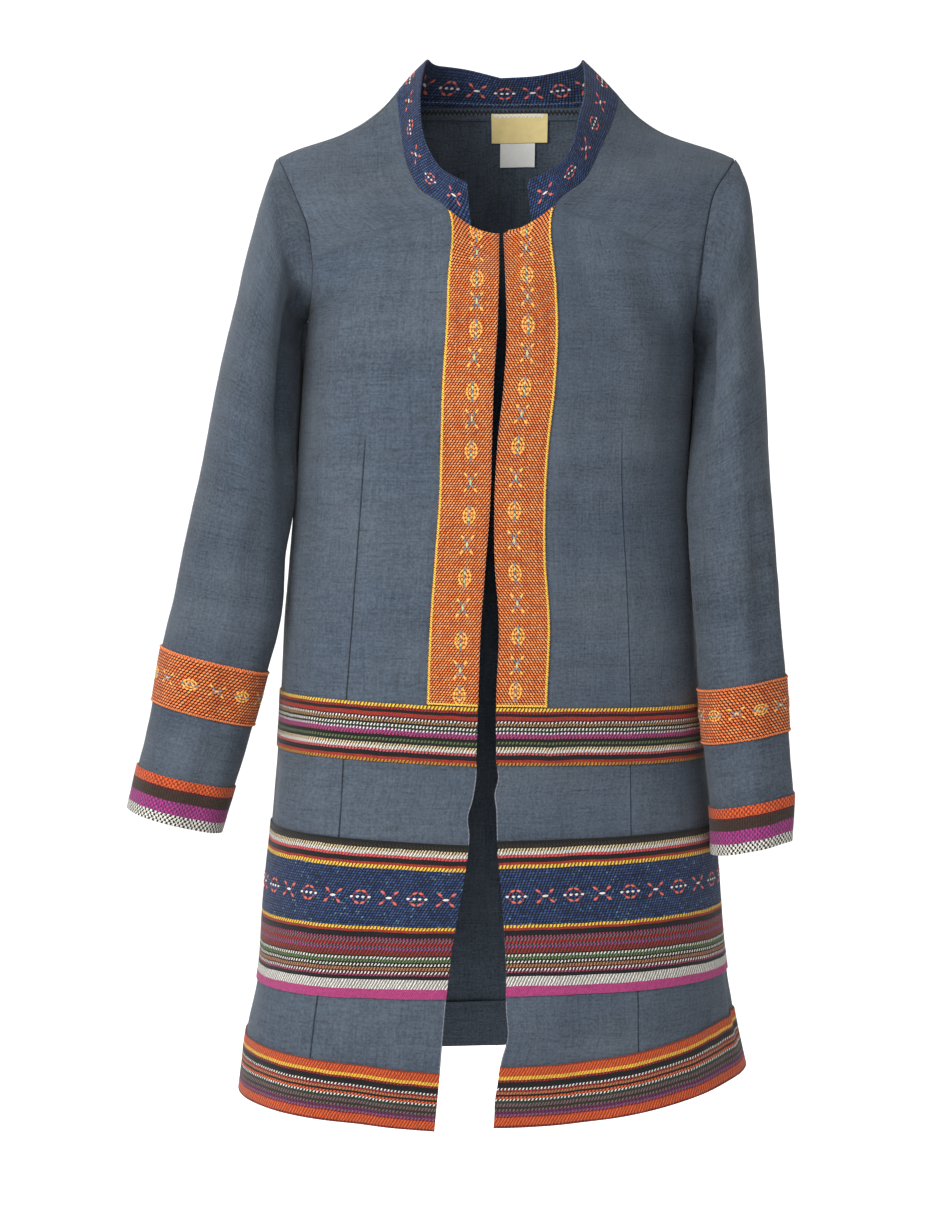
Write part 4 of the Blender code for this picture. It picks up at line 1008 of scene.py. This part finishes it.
# Motifs down a front band, ring first: distance from the one above, in millimetres
MOTIF_GAPS = (4, 19, 25, 20, 24, 24, 29, 23, 27, 27, 28, 25, 28, 26, 28, 25, 22)


def corded(trim, patch, across, turn=40.0, lit=3, ground=4, pitch=0.0019):
    """A twisted edge: bright slanting floats on a dark line."""
    u = np.arange(0.003, patch.long - 0.0032, 0.0057)
    trim.lay(patch, [(x, across, 0.0074, 0.0030, 0.0, ground) for x in u], 0.0002)
    trim.lay(patch, beaded(patch, across, pitch, 0.0027, 0.0014, turn, (lit,)), 0.0008)


def upright(rows):
    """Turn rows laid along a band so that they run across it."""
    return [(b, a, long_, wide, 90 - turn, colour) for a, b, long_, wide, turn, colour in rows]


# The wearer's left front a little, the right sleeve more and the left sleeve most are darker copies of the same
# slate: painted shade where the light falls off
slate = {k: slate_cloth("slate_" + k, s, dim) for k, s, dim in (
    ("front_r", 1.3, 1.0), ("front_l", 8.1, 0.98), ("back_r", 15.7, 1.0), ("back_l", 23.9, 1.0),
    ("sleeve_r", 31.1, 0.94), ("sleeve_l", 40.3, 0.88))}
# The inside, the seam allowances and the turn-ups are the same slate made darker: painted shade inside the jacket
inside = slate_cloth("slate_inside", 51.0, 0.82)
orange = brocade("orange_brocade", srgb(255, 164, 94), srgb(240, 116, 52), srgb(52, 10, 5),
                 srgb(178, 56, 28), 3.0)
orange_round = brocade("orange_sleeve_brocade", srgb(252, 152, 84), srgb(232, 104, 44), srgb(38, 8, 4),
                       srgb(160, 46, 24), 4.0, 0.0033, 0.0025)
navy = brocade("navy_brocade", INK["blue"], INK["navy"], INK["deep"], INK["deep"], 5.0,
               0.0028, 0.0022, 0.36, 0.3)
THREADS_WARM = [yarn("yarn_mint", INK["mint"]), yarn("yarn_sky", INK["sky"], 2.0),
                yarn("yarn_amber", INK["amber"], 4.0)]
THREADS_COOL = [yarn("yarn_white", INK["white"]), yarn("yarn_berry", srgb(146, 44, 60), 2.0),
                yarn("yarn_coral", INK["coral"], 4.0)]
EDGE = [yarn("yarn_yellow", srgb(250, 214, 72), 6.0), yarn("yarn_dark", srgb(60, 40, 26), 7.0),
        yarn("yarn_dusk", INK["dusk"], 8.0), yarn("yarn_wine", srgb(92, 34, 30), 9.0),
        yarn("yarn_flame", srgb(238, 128, 66), 12.0)]
SEWING = yarn("sewing_thread", srgb(46, 52, 62), 10.0)
PALE = yarn("overlock_thread", srgb(236, 236, 230), 11.0, 0.2)
TOPSTITCH = yarn("topstitch_thread", srgb(148, 160, 176), 13.0, 0.1)
SERGE = yarn("serging_thread", srgb(72, 80, 92), 12.0, 0.2)
DARK_SERGE = yarn("dark_serging_thread", srgb(8, 9, 14), 14.0, 0.2)
# Pale yarn laid along the fold of each front edge: a painted highlight where the edge turns
EDGE_HIGHLIGHT = yarn("painted_edge_highlight", srgb(136, 134, 144), 15.0, 0.15)
grids, norms, number, at = both_halves()
below, top, corner, neck = (number[name] for name in ("f_under", "seam", "f_corner", "b_neck"))
last = len(at) - 1


def body_uv(side):
    """Lengths across and up each half in metres, with the weft lying level."""
    grid = grids[side]
    full = np.nan_to_num(np.linalg.norm(np.diff(grid, axis=1), axis=2))
    wide = np.concatenate([np.zeros((len(grid), 1)), np.cumsum(full, axis=1)], axis=1)
    z = grid[:, :, 2]
    rise = np.nan_to_num(z - np.nanmean(z, axis=1, keepdims=True))
    turn = np.where(np.arange(len(grid)) <= top, 1.0, -1.0)[:, None]
    return np.stack([wide, at[:, None] + turn * rise], axis=-1)


def drawn_in(edge, beside):
    """An edge moved half a seam gap toward the points beside it."""
    return edge + unit(np.nan_to_num(beside - edge)) * SEAM_GAP / 2


def body_cloth(side):
    """Front and back panel of one half."""
    way, uv = norms[side], body_uv(side)
    cloth = grids[side] + seam_relief(side, number, at, grids[side])[:, :, None] * way
    front, back = cloth[:top + 1].copy(), cloth[top:].copy()
    front[:below + 1, -1] = drawn_in(front[:below + 1, -1], front[:below + 1, -2])
    front[top] = drawn_in(front[top], front[top - 1])
    back[-below - 1:, -1] = drawn_in(back[-below - 1:, -1], back[-below - 1:, -2])
    back[neck - top:, 0] = drawn_in(back[neck - top:, 0], back[neck - top:, 1])
    back[0] = drawn_in(back[0], back[1])
    for part, face, rows in (("front", front, slice(0, top + 1)), ("back", back, slice(top, None))):
        name = f"{part}_{side}"
        obj = shell(name + "_cloth", face, way[rows], CLOTH, uv[rows], [slate[name], inside], inner=1)
        done(obj, name)


def front_edge(side):
    """Front edge between the bands: a pale line along the fold at the edge, a painted highlight, and a line of
    stitching beside it.
    """
    trim = Threads()
    for low, high in (("skirt_t", "hip_b"), ("hem_t", "skirt_b")):
        rows = slice(number["f_" + low], number["f_" + high] + 1)
        patch = Patch(*(field[side][rows, :AT_STRIP + 1].transpose(1, 0, 2) for field in (grids, norms)))
        # the pale line at the fold is a painted highlight
        trim.lay(patch, sewn(patch, 0.0006, "fold", 1), 0.0003)
        trim.lay(patch, sewn(patch, 0.0048, "edge"), 0.0002)
    done(trim.piece(f"front_edge_{side}_stitches", [SEWING, EDGE_HIGHLIGHT]))


for side in "rl":
    body_cloth(side)
for side in "rl":
    front_edge(side)


def joined(*parts):
    """Points and facings of stretches of the halves, side by side: side, rows and columns of each."""
    return [np.concatenate([field[side][rows][:, cols] for side, rows, cols in parts], axis=1)
            for field in (grids, norms)]


def tape(name, strip, off, depth=0.0005):
    """A strip of the same cloth inside a seam; off is how far in it lies."""
    points, way = strip
    face = points - way * np.asarray(off)[..., None]
    patch = Patch(face, -way)
    obj = shell(name, face, -way, depth, patch.uv(), [inside])
    done(obj, None)
    return patch


# Seam allowances pressed open inside: centre back, side seams and shoulders
NEAR, FAR = CLOTH + 0.0005, CLOTH + 0.0015
HALFWAY = NEAR + 0.0003
CENTRE = (0, 1, 2, 3, 4)
EDGE_COLS = (-4, -3, -2, -1)
half = slice(neck, last + 1)
tape("centre_back_allowance", joined(("r", half, CENTRE[::-1]), ("l", half, CENTRE[1:])),
     (NEAR, NEAR, HALFWAY, FAR, NEAR, FAR, HALFWAY, NEAR, NEAR))
for side in "rl":
    rows = np.arange(below + 1)
    tape("side_allowance_" + side, joined((side, rows, EDGE_COLS), (side, last - rows, EDGE_COLS[::-1][1:])),
         (NEAR, NEAR, FAR, FAR, FAR, NEAR, NEAR))
    shoulder = [field[side][top - 4:top + 5, AT_STRIP + 1:-2].transpose(1, 0, 2) for field in (grids, norms)]
    tape("shoulder_allowance_" + side, shoulder, (NEAR, NEAR, NEAR, FAR, FAR, FAR, NEAR, NEAR, NEAR))

# Back hem turned up inside, its raw edge overlocked; it lies further in over the centre seam
rows, cols = slice(last - 9, last), np.arange(len(COLS))
hem = joined(("r", rows, cols[::-1][5:-5]), ("l", rows, cols[5:-5]))
off = NEAR + 0.0012 + 0.0010 * np.clip(1 - np.abs(hem[0][:, :, 0] - BACK_X) / 0.018, 0, 1)
off += 0.0005 * np.sin(np.linspace(0, 17, off.shape[1]))
patch = tape("back_hem_turnup", hem, off, 0.0007)
trim = Threads()
trim.lay(patch, overlocked(patch, 0.0020, 0.0042, 0.0010), 0.0004)
trim.lay(patch, overlocked(patch, patch.high - 0.0014, 0.0036, 0.0009), 0.0004)
done(trim.piece("back_hem_overlock", [SERGE]))


def motif_row(patch, count, pair, share, size=1.0):
    """Two motifs by turns at even steps along a band; share is their place across it."""
    rows = []
    for i in range(count):
        rows += motif(pair[i % 2], (i + 0.5) * patch.long / count, patch.high * share, size)
    return rows


def body_band(name, low, high, stripes):
    """A striped band round the body, from front edge to front edge."""
    halves = {}
    for side in "rl":
        f = slice(number["f_" + low], number["f_" + high] + 1)
        b = slice(number["b_" + high], number["b_" + low] + 1)
        halves[side] = [np.concatenate([field[side][f], field[side][b][::-1, ::-1][:, 1:]], axis=1)
                        for field in (grids, norms)]
    strip, way = (np.concatenate([r, l[:, ::-1][:, 1:]], axis=1) for r, l in zip(halves["r"], halves["l"]))
    face = strip + way * (LAY_GAP + BAND_WALL)
    patch = Patch(face, way)
    field = None
    if name == "skirt_band":
        total = sum(row[0] for row in stripes)
        k = [row[1] for row in stripes].index("navy")
        above = sum(row[0] for row in stripes[:k])
        field = (1 - (above + stripes[k][0]) / total, 1 - above / total)
    mat = striped(name + "_weave", stripes[::-1], patch.high, len(name) * 1.7, field)
    band = shell(name + "_weave", face, way, BAND_WALL, patch.uv(), [mat])
    trim = Threads()
    for across in (0.0013, patch.high - 0.0013):
        trim.lay(patch, sewn(patch, across, "band", 3), 0.0001)
    if field:
        rows = motif_row(patch, int(patch.long / MOTIF_STEP), (SKIRT_CROSS, SKIRT_RING), sum(field) / 2)
        trim.lay(patch, rows, MOTIF_HIGH)
    done(trim.piece(name + "_threads", THREADS_COOL + [SEWING]))
    done(band, name)


body_band("hip_band", "hip_b", "hip_t", HIP_STRIPES)
body_band("skirt_band", "skirt_b", "skirt_t", SKIRT_STRIPES)
body_band("hem_band", "hem", "hem_t", HEM_STRIPES)


def front_band(side):
    """Woven band down a front edge, with a twisted outer edge and a row of motifs."""
    rows = slice(number["f_hip_t"], corner + 1)
    strip, way = grids[side][rows, :AT_STRIP + 1].copy(), norms[side][rows, :AT_STRIP + 1]
    strip[0] += unit(strip[1] - strip[0]) * 0.0008
    face = strip + way * (LAY_GAP + BAND_WALL)
    band = shell(f"front_band_{side}_weave", face, way, BAND_WALL, Patch(face, way).uv(), [orange])
    # laid so that lengths run up the band and across it from the front edge
    patch = Patch(face.transpose(1, 0, 2), way.transpose(1, 0, 2))
    trim = Threads()
    corded(trim, patch, patch.high - 0.0012, 40.0 if side == "r" else -40.0)
    trim.lay(patch, beaded(patch, 0.0007, 0.0021, 0.0013, 0.0009, 0.0, (5, 6)), 0.0003)
    trim.lay(patch, [(0.0013, patch.high / 2, 0.0028, patch.high, 0.0, 4)], 0.0001)
    foot = [(0.0013, x, 0.0026, 0.0014, 50.0, 3) for x in np.arange(0.0012, patch.high - 0.001, 0.0019)]
    trim.lay(patch, foot, 0.0008)
    rows = []
    for i, down in enumerate(np.cumsum(MOTIF_GAPS) / 1000):
        share = 0.43 - 0.06 * down / patch.long
        rows += motif(CROSS if i % 2 else RING, patch.long - down, patch.high * share, 0.98)
    trim.lay(patch, [r for r in rows if 0.003 < r[0] < patch.long - 0.0012], MOTIF_HIGH)
    done(trim.piece(f"front_band_{side}_threads", THREADS_WARM + EDGE))
    done(band, "front_band_" + side)


for side in "rl":
    front_band(side)


def sleeve_rings(side, loop):
    """Rings of the sleeve from the armhole to the cuff, the ring number of each row, and lengths down it."""
    rows, sign = SLEEVE[side], -1.0 if side == "r" else 1.0
    m = len(loop)
    tip = loop[m // 2]
    arm = (tip - loop[0]) / 2
    off = loop - (tip + loop[0]) / 2
    seam_turn = np.arctan2(-off[:, 1] / np.abs(loop[:, 1]).max(), -(off @ arm) / (arm @ arm))
    seam_turn = np.where(seam_turn < -1e-6, seam_turn + 2 * np.pi, seam_turn)
    seam_turn[0] = 0.0
    seam_turn = np.maximum.accumulate(seam_turn)
    even_turn = 2 * np.pi * np.arange(m) / m
    rings = [loop]
    for i, (_, ox, oz, ix, iz, y, d) in enumerate(rows):
        mix = min(1.0, i / EVEN_BY)
        turn = seam_turn * (1 - mix) + even_turn * mix
        outer, inner = np.array((sign * ox, y, oz)), np.array((sign * ix, y, iz))
        ring = (outer + inner) / 2 - np.cos(turn)[:, None] * (outer - inner) / 2
        ring[:, 1] -= np.sin(turn) * d
        rings.append(ring)
    rings = np.stack(rings)
    knots = lengths(rings.mean(axis=1))
    down = [0.0]
    for start, end in zip(knots[:-1], knots[1:]):
        steps = max(2, math.ceil((end - start) / RING_STEP))
        down += list(np.linspace(start, end, steps + 1)[1:])
    down = np.array(down)
    ring_no = {row[0]: int(np.argmin(np.abs(down - knot))) for row, knot in zip(rows, knots[1:])}
    return smooth(knots, rings, down), ring_no, down


def ring_facing(grid):
    """Outward directions of a sleeve's rings."""
    wrapped = np.concatenate([grid[:, -1:], grid, grid[:, :1]], axis=1)
    way = unit(corner_sum(wrapped)[:, 1:-1])
    return way if np.sum(way * (grid - grid.mean(axis=1, keepdims=True))) > 0 else -way


def sleeve(side):
    """A sleeve, the allowance of its armhole seam, and the two bands round it."""
    rows = np.arange(below, last - below)
    grid, facing = grids[side][rows], norms[side][rows, -1]
    away = unit(grid[:, -1] - grid[:, -2])
    away[0] = (0.0, 0.0, 1.0)
    rings, ring_no, down = sleeve_rings(side, grid[:, -1] + (away + facing) * SEAM_GAP)
    out = ring_facing(rings)
    m = rings.shape[1]
    place = np.arange(m) / m
    lift = folded("sleeve_" + side, place, rings[:, :, 2], True)
    lift += 0.0006 * ripple(np.sin(2 * np.pi * place) * 0.05, down[:, None], 2.0 if side == "r" else 5.0)
    rings = rings + (lift * np.clip(down / 0.012, 0, 1)[:, None])[:, :, None] * out
    out = ring_facing(rings)
    same = np.clip(np.sum(out[0] * facing, axis=-1, keepdims=True), 0, 1)
    out[0] = unit(out[0] + SLEEVE_TURN * same * facing)
    # a groove down the underseam, and a swell beside the armhole
    relief = np.repeat(0.0008 * np.exp(-((down - 0.006) / 0.005) ** 2)[:, None], m, axis=1)
    relief[:, 0] -= 0.0008
    relief[3:, 0] -= 0.0002
    around = np.stack([lengths(np.concatenate([ring, ring[:1]])) for ring in rings])
    uv = np.stack([around, np.repeat(-down[:, None], m + 1, axis=1)], axis=-1)
    obj = shell(f"sleeve_{side}_cloth", rings + relief[:, :, None] * out, out, CLOTH, uv,
                [slate["sleeve_" + side], inside], closed=True, inner=1)
    done(obj, "sleeve_" + side)
    # the allowance is turned toward the sleeve inside
    strip = [np.concatenate([a[:, EDGE_COLS], b[1:4].transpose(1, 0, 2)], axis=1)
             for a, b in ((grid, rings), (norms[side][rows], out))]
    tape("armhole_allowance_" + side, strip, ARMHOLE_OFF)
    for kind, high, low, slot in (("sleeve_band", "band_t", "band_b", "orange"),
                                  ("cuff_band", "cuff_t", "cuff_b", "cuffs")):
        name = f"{kind}_{side}"
        rows = slice(ring_no[high], ring_no[low] + 1)
        face, way = (rings[rows] + out[rows] * (LAY_GAP + BAND_WALL))[::-1], out[rows][::-1]
        patch = Patch(*(np.concatenate([g, g[:, :1]], axis=1) for g in (face, way)))
        trim = Threads()
        if kind == "sleeve_band":
            mat = orange_round
            for across in (0.0011, patch.high - 0.0011):
                corded(trim, patch, across, 40.0, 7, 6, 0.0021)
            trim.lay(patch, motif_row(patch, 12, (CROSS, RING), 0.52, 0.90), MOTIF_HIGH)
        else:
            mat = striped(f"cuff_{side}_weave", CUFF_STRIPES[::-1], patch.high, 6.0 if side == "r" else 9.0,
                          None, *CUFF_CHECK)
            trim.lay(patch, sewn(patch, patch.high - 0.0012, "band", 4), 0.0001)
        band = shell(name + "_weave", face, way, BAND_WALL, patch.uv(), [mat], closed=True)
        done(trim.piece(name + "_threads", THREADS_WARM + EDGE))
        done(band, name)


for side in "rl":
    sleeve(side)


def neckline(field, side):
    """Points from the collar's front end along the neck to the centre back, and named places."""
    grid = field[side]
    first = list(grid[corner, AT_END:AT_STRIP + 1])
    rise = [grid[r, AT_STRIP] for r in range(corner + 1, neck + 1)]
    back = list(grid[neck, AT_STRIP - 1::-1])
    start = len(first) - 1
    place = {name: start + number[name] - corner for name in ("yoke_a", "yoke_b", "yoke_c", "seam")}
    turn = start + neck - corner
    nape = turn + AT_STRIP - int(np.argmin(np.abs(COLS - STRIP / 2)))
    place.update(end=0, band=start, turn=turn, nape=nape, back=turn + AT_STRIP)
    return np.array(first + rise + back), place


def collar_sheet():
    """Outer grid of the collar from its seam to its rim, end to end, and its facings."""
    sides = []
    for side in "rl":
        base, place = neckline(grids, side)
        run = lengths(base)
        tops = np.array([(x_l if side == "l" else x_r, y, z_l if side == "l" else z_r)
                         for _, x_r, x_l, y, z_r, z_l in COLLAR])
        rim = smooth(run[[place[row[0]] for row in COLLAR]], tops, run)
        sides.append((base + unit(rim - base) * SEAM_GAP, rim, neckline(norms, side)[0]))
    base, rim, facing = (np.concatenate([r, l[::-1][1:]]) for r, l in zip(*sides))
    t = np.linspace(0, 1, COLLAR_ROWS)[:, None, None]
    sheet = base * (1 - t) + rim * t
    out = unit(corner_sum(sheet))
    if np.sum(out * (sheet - np.array((BACK_X, 0.0, 0.0)))) < 0:
        out = -out
    same = np.clip(np.sum(out[0] * facing, axis=-1, keepdims=True), 0, 1)
    out[0] = unit(out[0] + COLLAR_TURN * same * facing)
    return sheet + out * (0.0007 * np.sin(np.pi * t) + 0.0003), out


def collar_solid(sheet, out):
    """Closed collar: up the outside, over the top, down the inside, with flat ends."""
    inner = (sheet - out * COLLAR_WALL)[::-1]
    up = unit(sheet[-1] - sheet[-2])
    over = [sheet[-1] - out[-1] * COLLAR_WALL / 2 * (1 - math.cos(a)) + up * COLLAR_WALL / 2 * math.sin(a)
            for a in np.pi * np.arange(1, 6) / 6]
    profile = np.concatenate([sheet, np.stack(over), inner])
    rows, cols = profile.shape[:2]
    run, high = Patch(sheet, out).u, lengths(profile[:, cols // 2])
    ids = np.arange(rows * cols).reshape(rows, cols)
    quads = [quads_of(np.append(ids, ids[:1], axis=0)).reshape(-1, 4)]
    places = np.stack(np.meshgrid(run, np.append(high, high[-1] + COLLAR_WALL)), -1)
    spots = [quads_of(places).reshape(-1, 4, 2)]
    r = np.arange(len(sheet) - 1)
    for c, turn in ((0, 1), (cols - 1, -1)):
        end = np.stack([ids[r, c], ids[r + 1, c], ids[rows - 2 - r, c], ids[rows - 1 - r, c]], -1)
        quads.append(end[:, ::turn])
        spots.append([[(run[c], h)] * 4 for h in high[r]])
    quads, spots, verts = np.concatenate(quads), np.concatenate(spots), profile.reshape(-1, 3)
    return make_mesh("collar_weave", verts, *turned_out(verts, quads, spots), np.zeros(len(quads)), [navy])


sheet, out = collar_sheet()
collar = collar_solid(sheet, out)
outer, inner = Patch(sheet, out), Patch(sheet - out * COLLAR_WALL, -out)
trim = Threads()
for patch, count, size in ((outer, 19, 0.94), (inner, 23, 1.06)):
    trim.lay(patch, motif_row(patch, count, (SKIRT_CROSS, SKIRT_RING), 0.50, size), MOTIF_HIGH)
trim.lay(inner, sewn(inner, 0.0044, "top", 3), 0.0003)
trim.lay(outer, sewn(outer, 0.0018, "foot", 4), 0.0001)
done(trim.piece("collar_threads", THREADS_COOL + [TOPSTITCH, SEWING]))
done(collar, "collar")


def back_place(x, z):
    """Point and facing of the back's form near the centre, at a place seen from the front."""
    side = "r" if x < BACK_X else "l"
    rows = np.concatenate([grids[side][neck:, :AT_STRIP + 1], norms[side][neck:, :AT_STRIP + 1]], axis=2)
    line = np.array([[np.interp(abs(x - BACK_X), np.abs(row[:, 0] - BACK_X), row[:, k]) for k in range(6)]
                     for row in rows])
    return [np.interp(-z, -line[:, 2], line[:, k]) for k in range(6)]


def back_strip(x0, x1, across, z0, z1, up):
    """Points and facings of a rectangle on the back, as seen from the front."""
    both = np.array([[back_place(x, z) for x in np.linspace(x0, x1, across)] for z in np.linspace(z0, z1, up)])
    return both[..., :3], unit(both[..., 3:])


# Neck seam turned down inside the back, its raw edge overlocked
patch = tape("neck_allowance", back_strip(-0.0815, 0.0755, 71, -0.0072, 0.0030, 6), CLOTH + 0.0021)
trim = Threads()
trim.lay(patch, overlocked(patch, 0.0074, 0.0066, 0.0020), 0.0004)
done(trim.piece("neck_overlock", [DARK_SERGE]))


def tag(name, place, mat, trim_it):
    """A small bare label inside the back neck, curled at its ends and sewn on by trim_it."""
    x0, x1, z0, z1 = place
    points, way = back_strip(x0, x1, 17, z0, z1, 11)
    curl = 0.0011 * np.abs(np.linspace(-1, 1, 17)) ** 3 * np.linspace(1, 0.1, 11)[:, None]
    wave = 0.0005 * np.sin(np.linspace(0, 5, 17)) * np.linspace(1, 0.2, 11)[:, None]
    face = points - way * (CLOTH + 0.0026 + curl + wave)[:, :, None]
    patch = Patch(face, -way)
    obj = shell(name + "_tape", face, -way, 0.0007, patch.uv(), [mat])
    trim = Threads()
    trim_it(trim, patch)
    done(trim.piece(name + "_stitches", [PALE]))
    done(obj, name)


def label_trim(trim, patch):
    """Overlocked along the top and sewn down one end."""
    trim.lay(patch, overlocked(patch, patch.high - 0.0018, 0.0056, 0.0019), 0.0005)
    across = Patch(patch.points.transpose(1, 0, 2), patch.way.transpose(1, 0, 2))
    trim.lay(patch, upright(sewn(across, 0.0012, "label")), 0.0003)


def care_trim(trim, patch):
    """Sewn along the top."""
    trim.lay(patch, sewn(patch, patch.high - 0.0012, "label"), 0.0003)


satin = plain("label_satin", srgb(246, 224, 156), 61.0, 1400.0, 1100.0, 0.05, 0.55)
white_tape = plain("care_tape", srgb(240, 240, 236), 62.0, 1500.0, 1500.0, 0.04, 0.6)
tag("label", LABEL, satin, label_trim)
tag("care_label", CARE_LABEL, white_tape, care_trim)


def studio_sweep(x=5.0, near=-6.0, far=4.4, floor=-1.42, curve=1.4, high=3.2):
    """Floor and backdrop in one pale sweep, well below the jacket as it would be on a wearer."""
    c = Cloth("pale_sweep", 0.9, 0.0)
    c.done(c.ramp(c.noise(0.8, 0.8, 3.0, 2.0), [(0.0, (0.955,) * 3 + (1,)), (1.0, (0.975,) * 3 + (1,))]))
    bend = np.linspace(0, math.pi / 2, 15)
    round_part = zip(far + curve * np.sin(bend), floor + curve - curve * np.cos(bend))
    line = [(near, floor), *round_part, (far + curve, high)]
    points = np.array([[(-x, y, z), (x, y, z)] for y, z in line])
    spread = np.stack(np.meshgrid([0.0, 2 * x], lengths(np.array(line))), axis=-1)
    quads = quads_of(np.arange(len(line) * 2).reshape(-1, 2)).reshape(-1, 4)
    return make_mesh("studio_sweep", points.reshape(-1, 3), quads, spread.reshape(-1, 2)[quads],
                     np.zeros(len(quads)), [c.mat], angle=80)


studio_sweep()

for name, place, aim, size, power in (
        ("key", (-1.1, -1.5, 0.25), (0.0, 0.0, -0.25), 0.9, 28.0),
        ("front", (-0.3, -2.9, 0.5), (0.0, 0.0, -0.10), 0.9, 12.0),
        ("fill", (2.0, -2.3, 0.3), (0.0, 0.0, -0.45), 2.0, 3.0),
        ("top", (0.2, 0.3, 2.2), (0.0, 0.0, -0.40), 1.8, 1.2),
        ("back", (-0.6, 2.6, 0.9), (0.0, 0.0, -0.40), 2.0, 30.0),
        ("wall", (0.0, 2.2, 2.1), (0.0, 4.5, -0.8), 2.6, 130.0)):
    light = bpy.data.lights.new(name, "AREA")
    light.shape, light.size, light.energy = "SQUARE", size, power
    lamp = in_scene(name, light)
    lamp.location = place
    lamp.rotation_euler = (Vector(aim) - Vector(place)).to_track_quat("-Z", "Y").to_euler()

world = bpy.data.worlds.new("studio")
world.use_nodes = True
sky = world.node_tree.nodes["Background"].inputs
sky[0].default_value, sky[1].default_value = (1.0, 1.0, 1.0, 1.0), 0.45
bpy.context.scene.world = world
bpy.context.scene.view_settings.view_transform = "Standard"

# The image is 940 pixels wide; the focal length is in its pixels, and the picture's middle
# is so many pixels below the level of the camera.
IMAGE_WIDE, FOCAL, BELOW_LEVEL = 940, 2809, 157.5
lens = bpy.data.cameras.new("camera")
lens.sensor_fit = "HORIZONTAL"
lens.sensor_width = 36.0
lens.lens = 36.0 * FOCAL / IMAGE_WIDE
camera = in_scene("camera", lens)
camera.location = (-0.031, -2.5, -0.307)
camera.rotation_euler = (math.pi / 2 - math.atan(BELOW_LEVEL / FOCAL), 0.0, 0.0)
bpy.context.scene.camera = camera
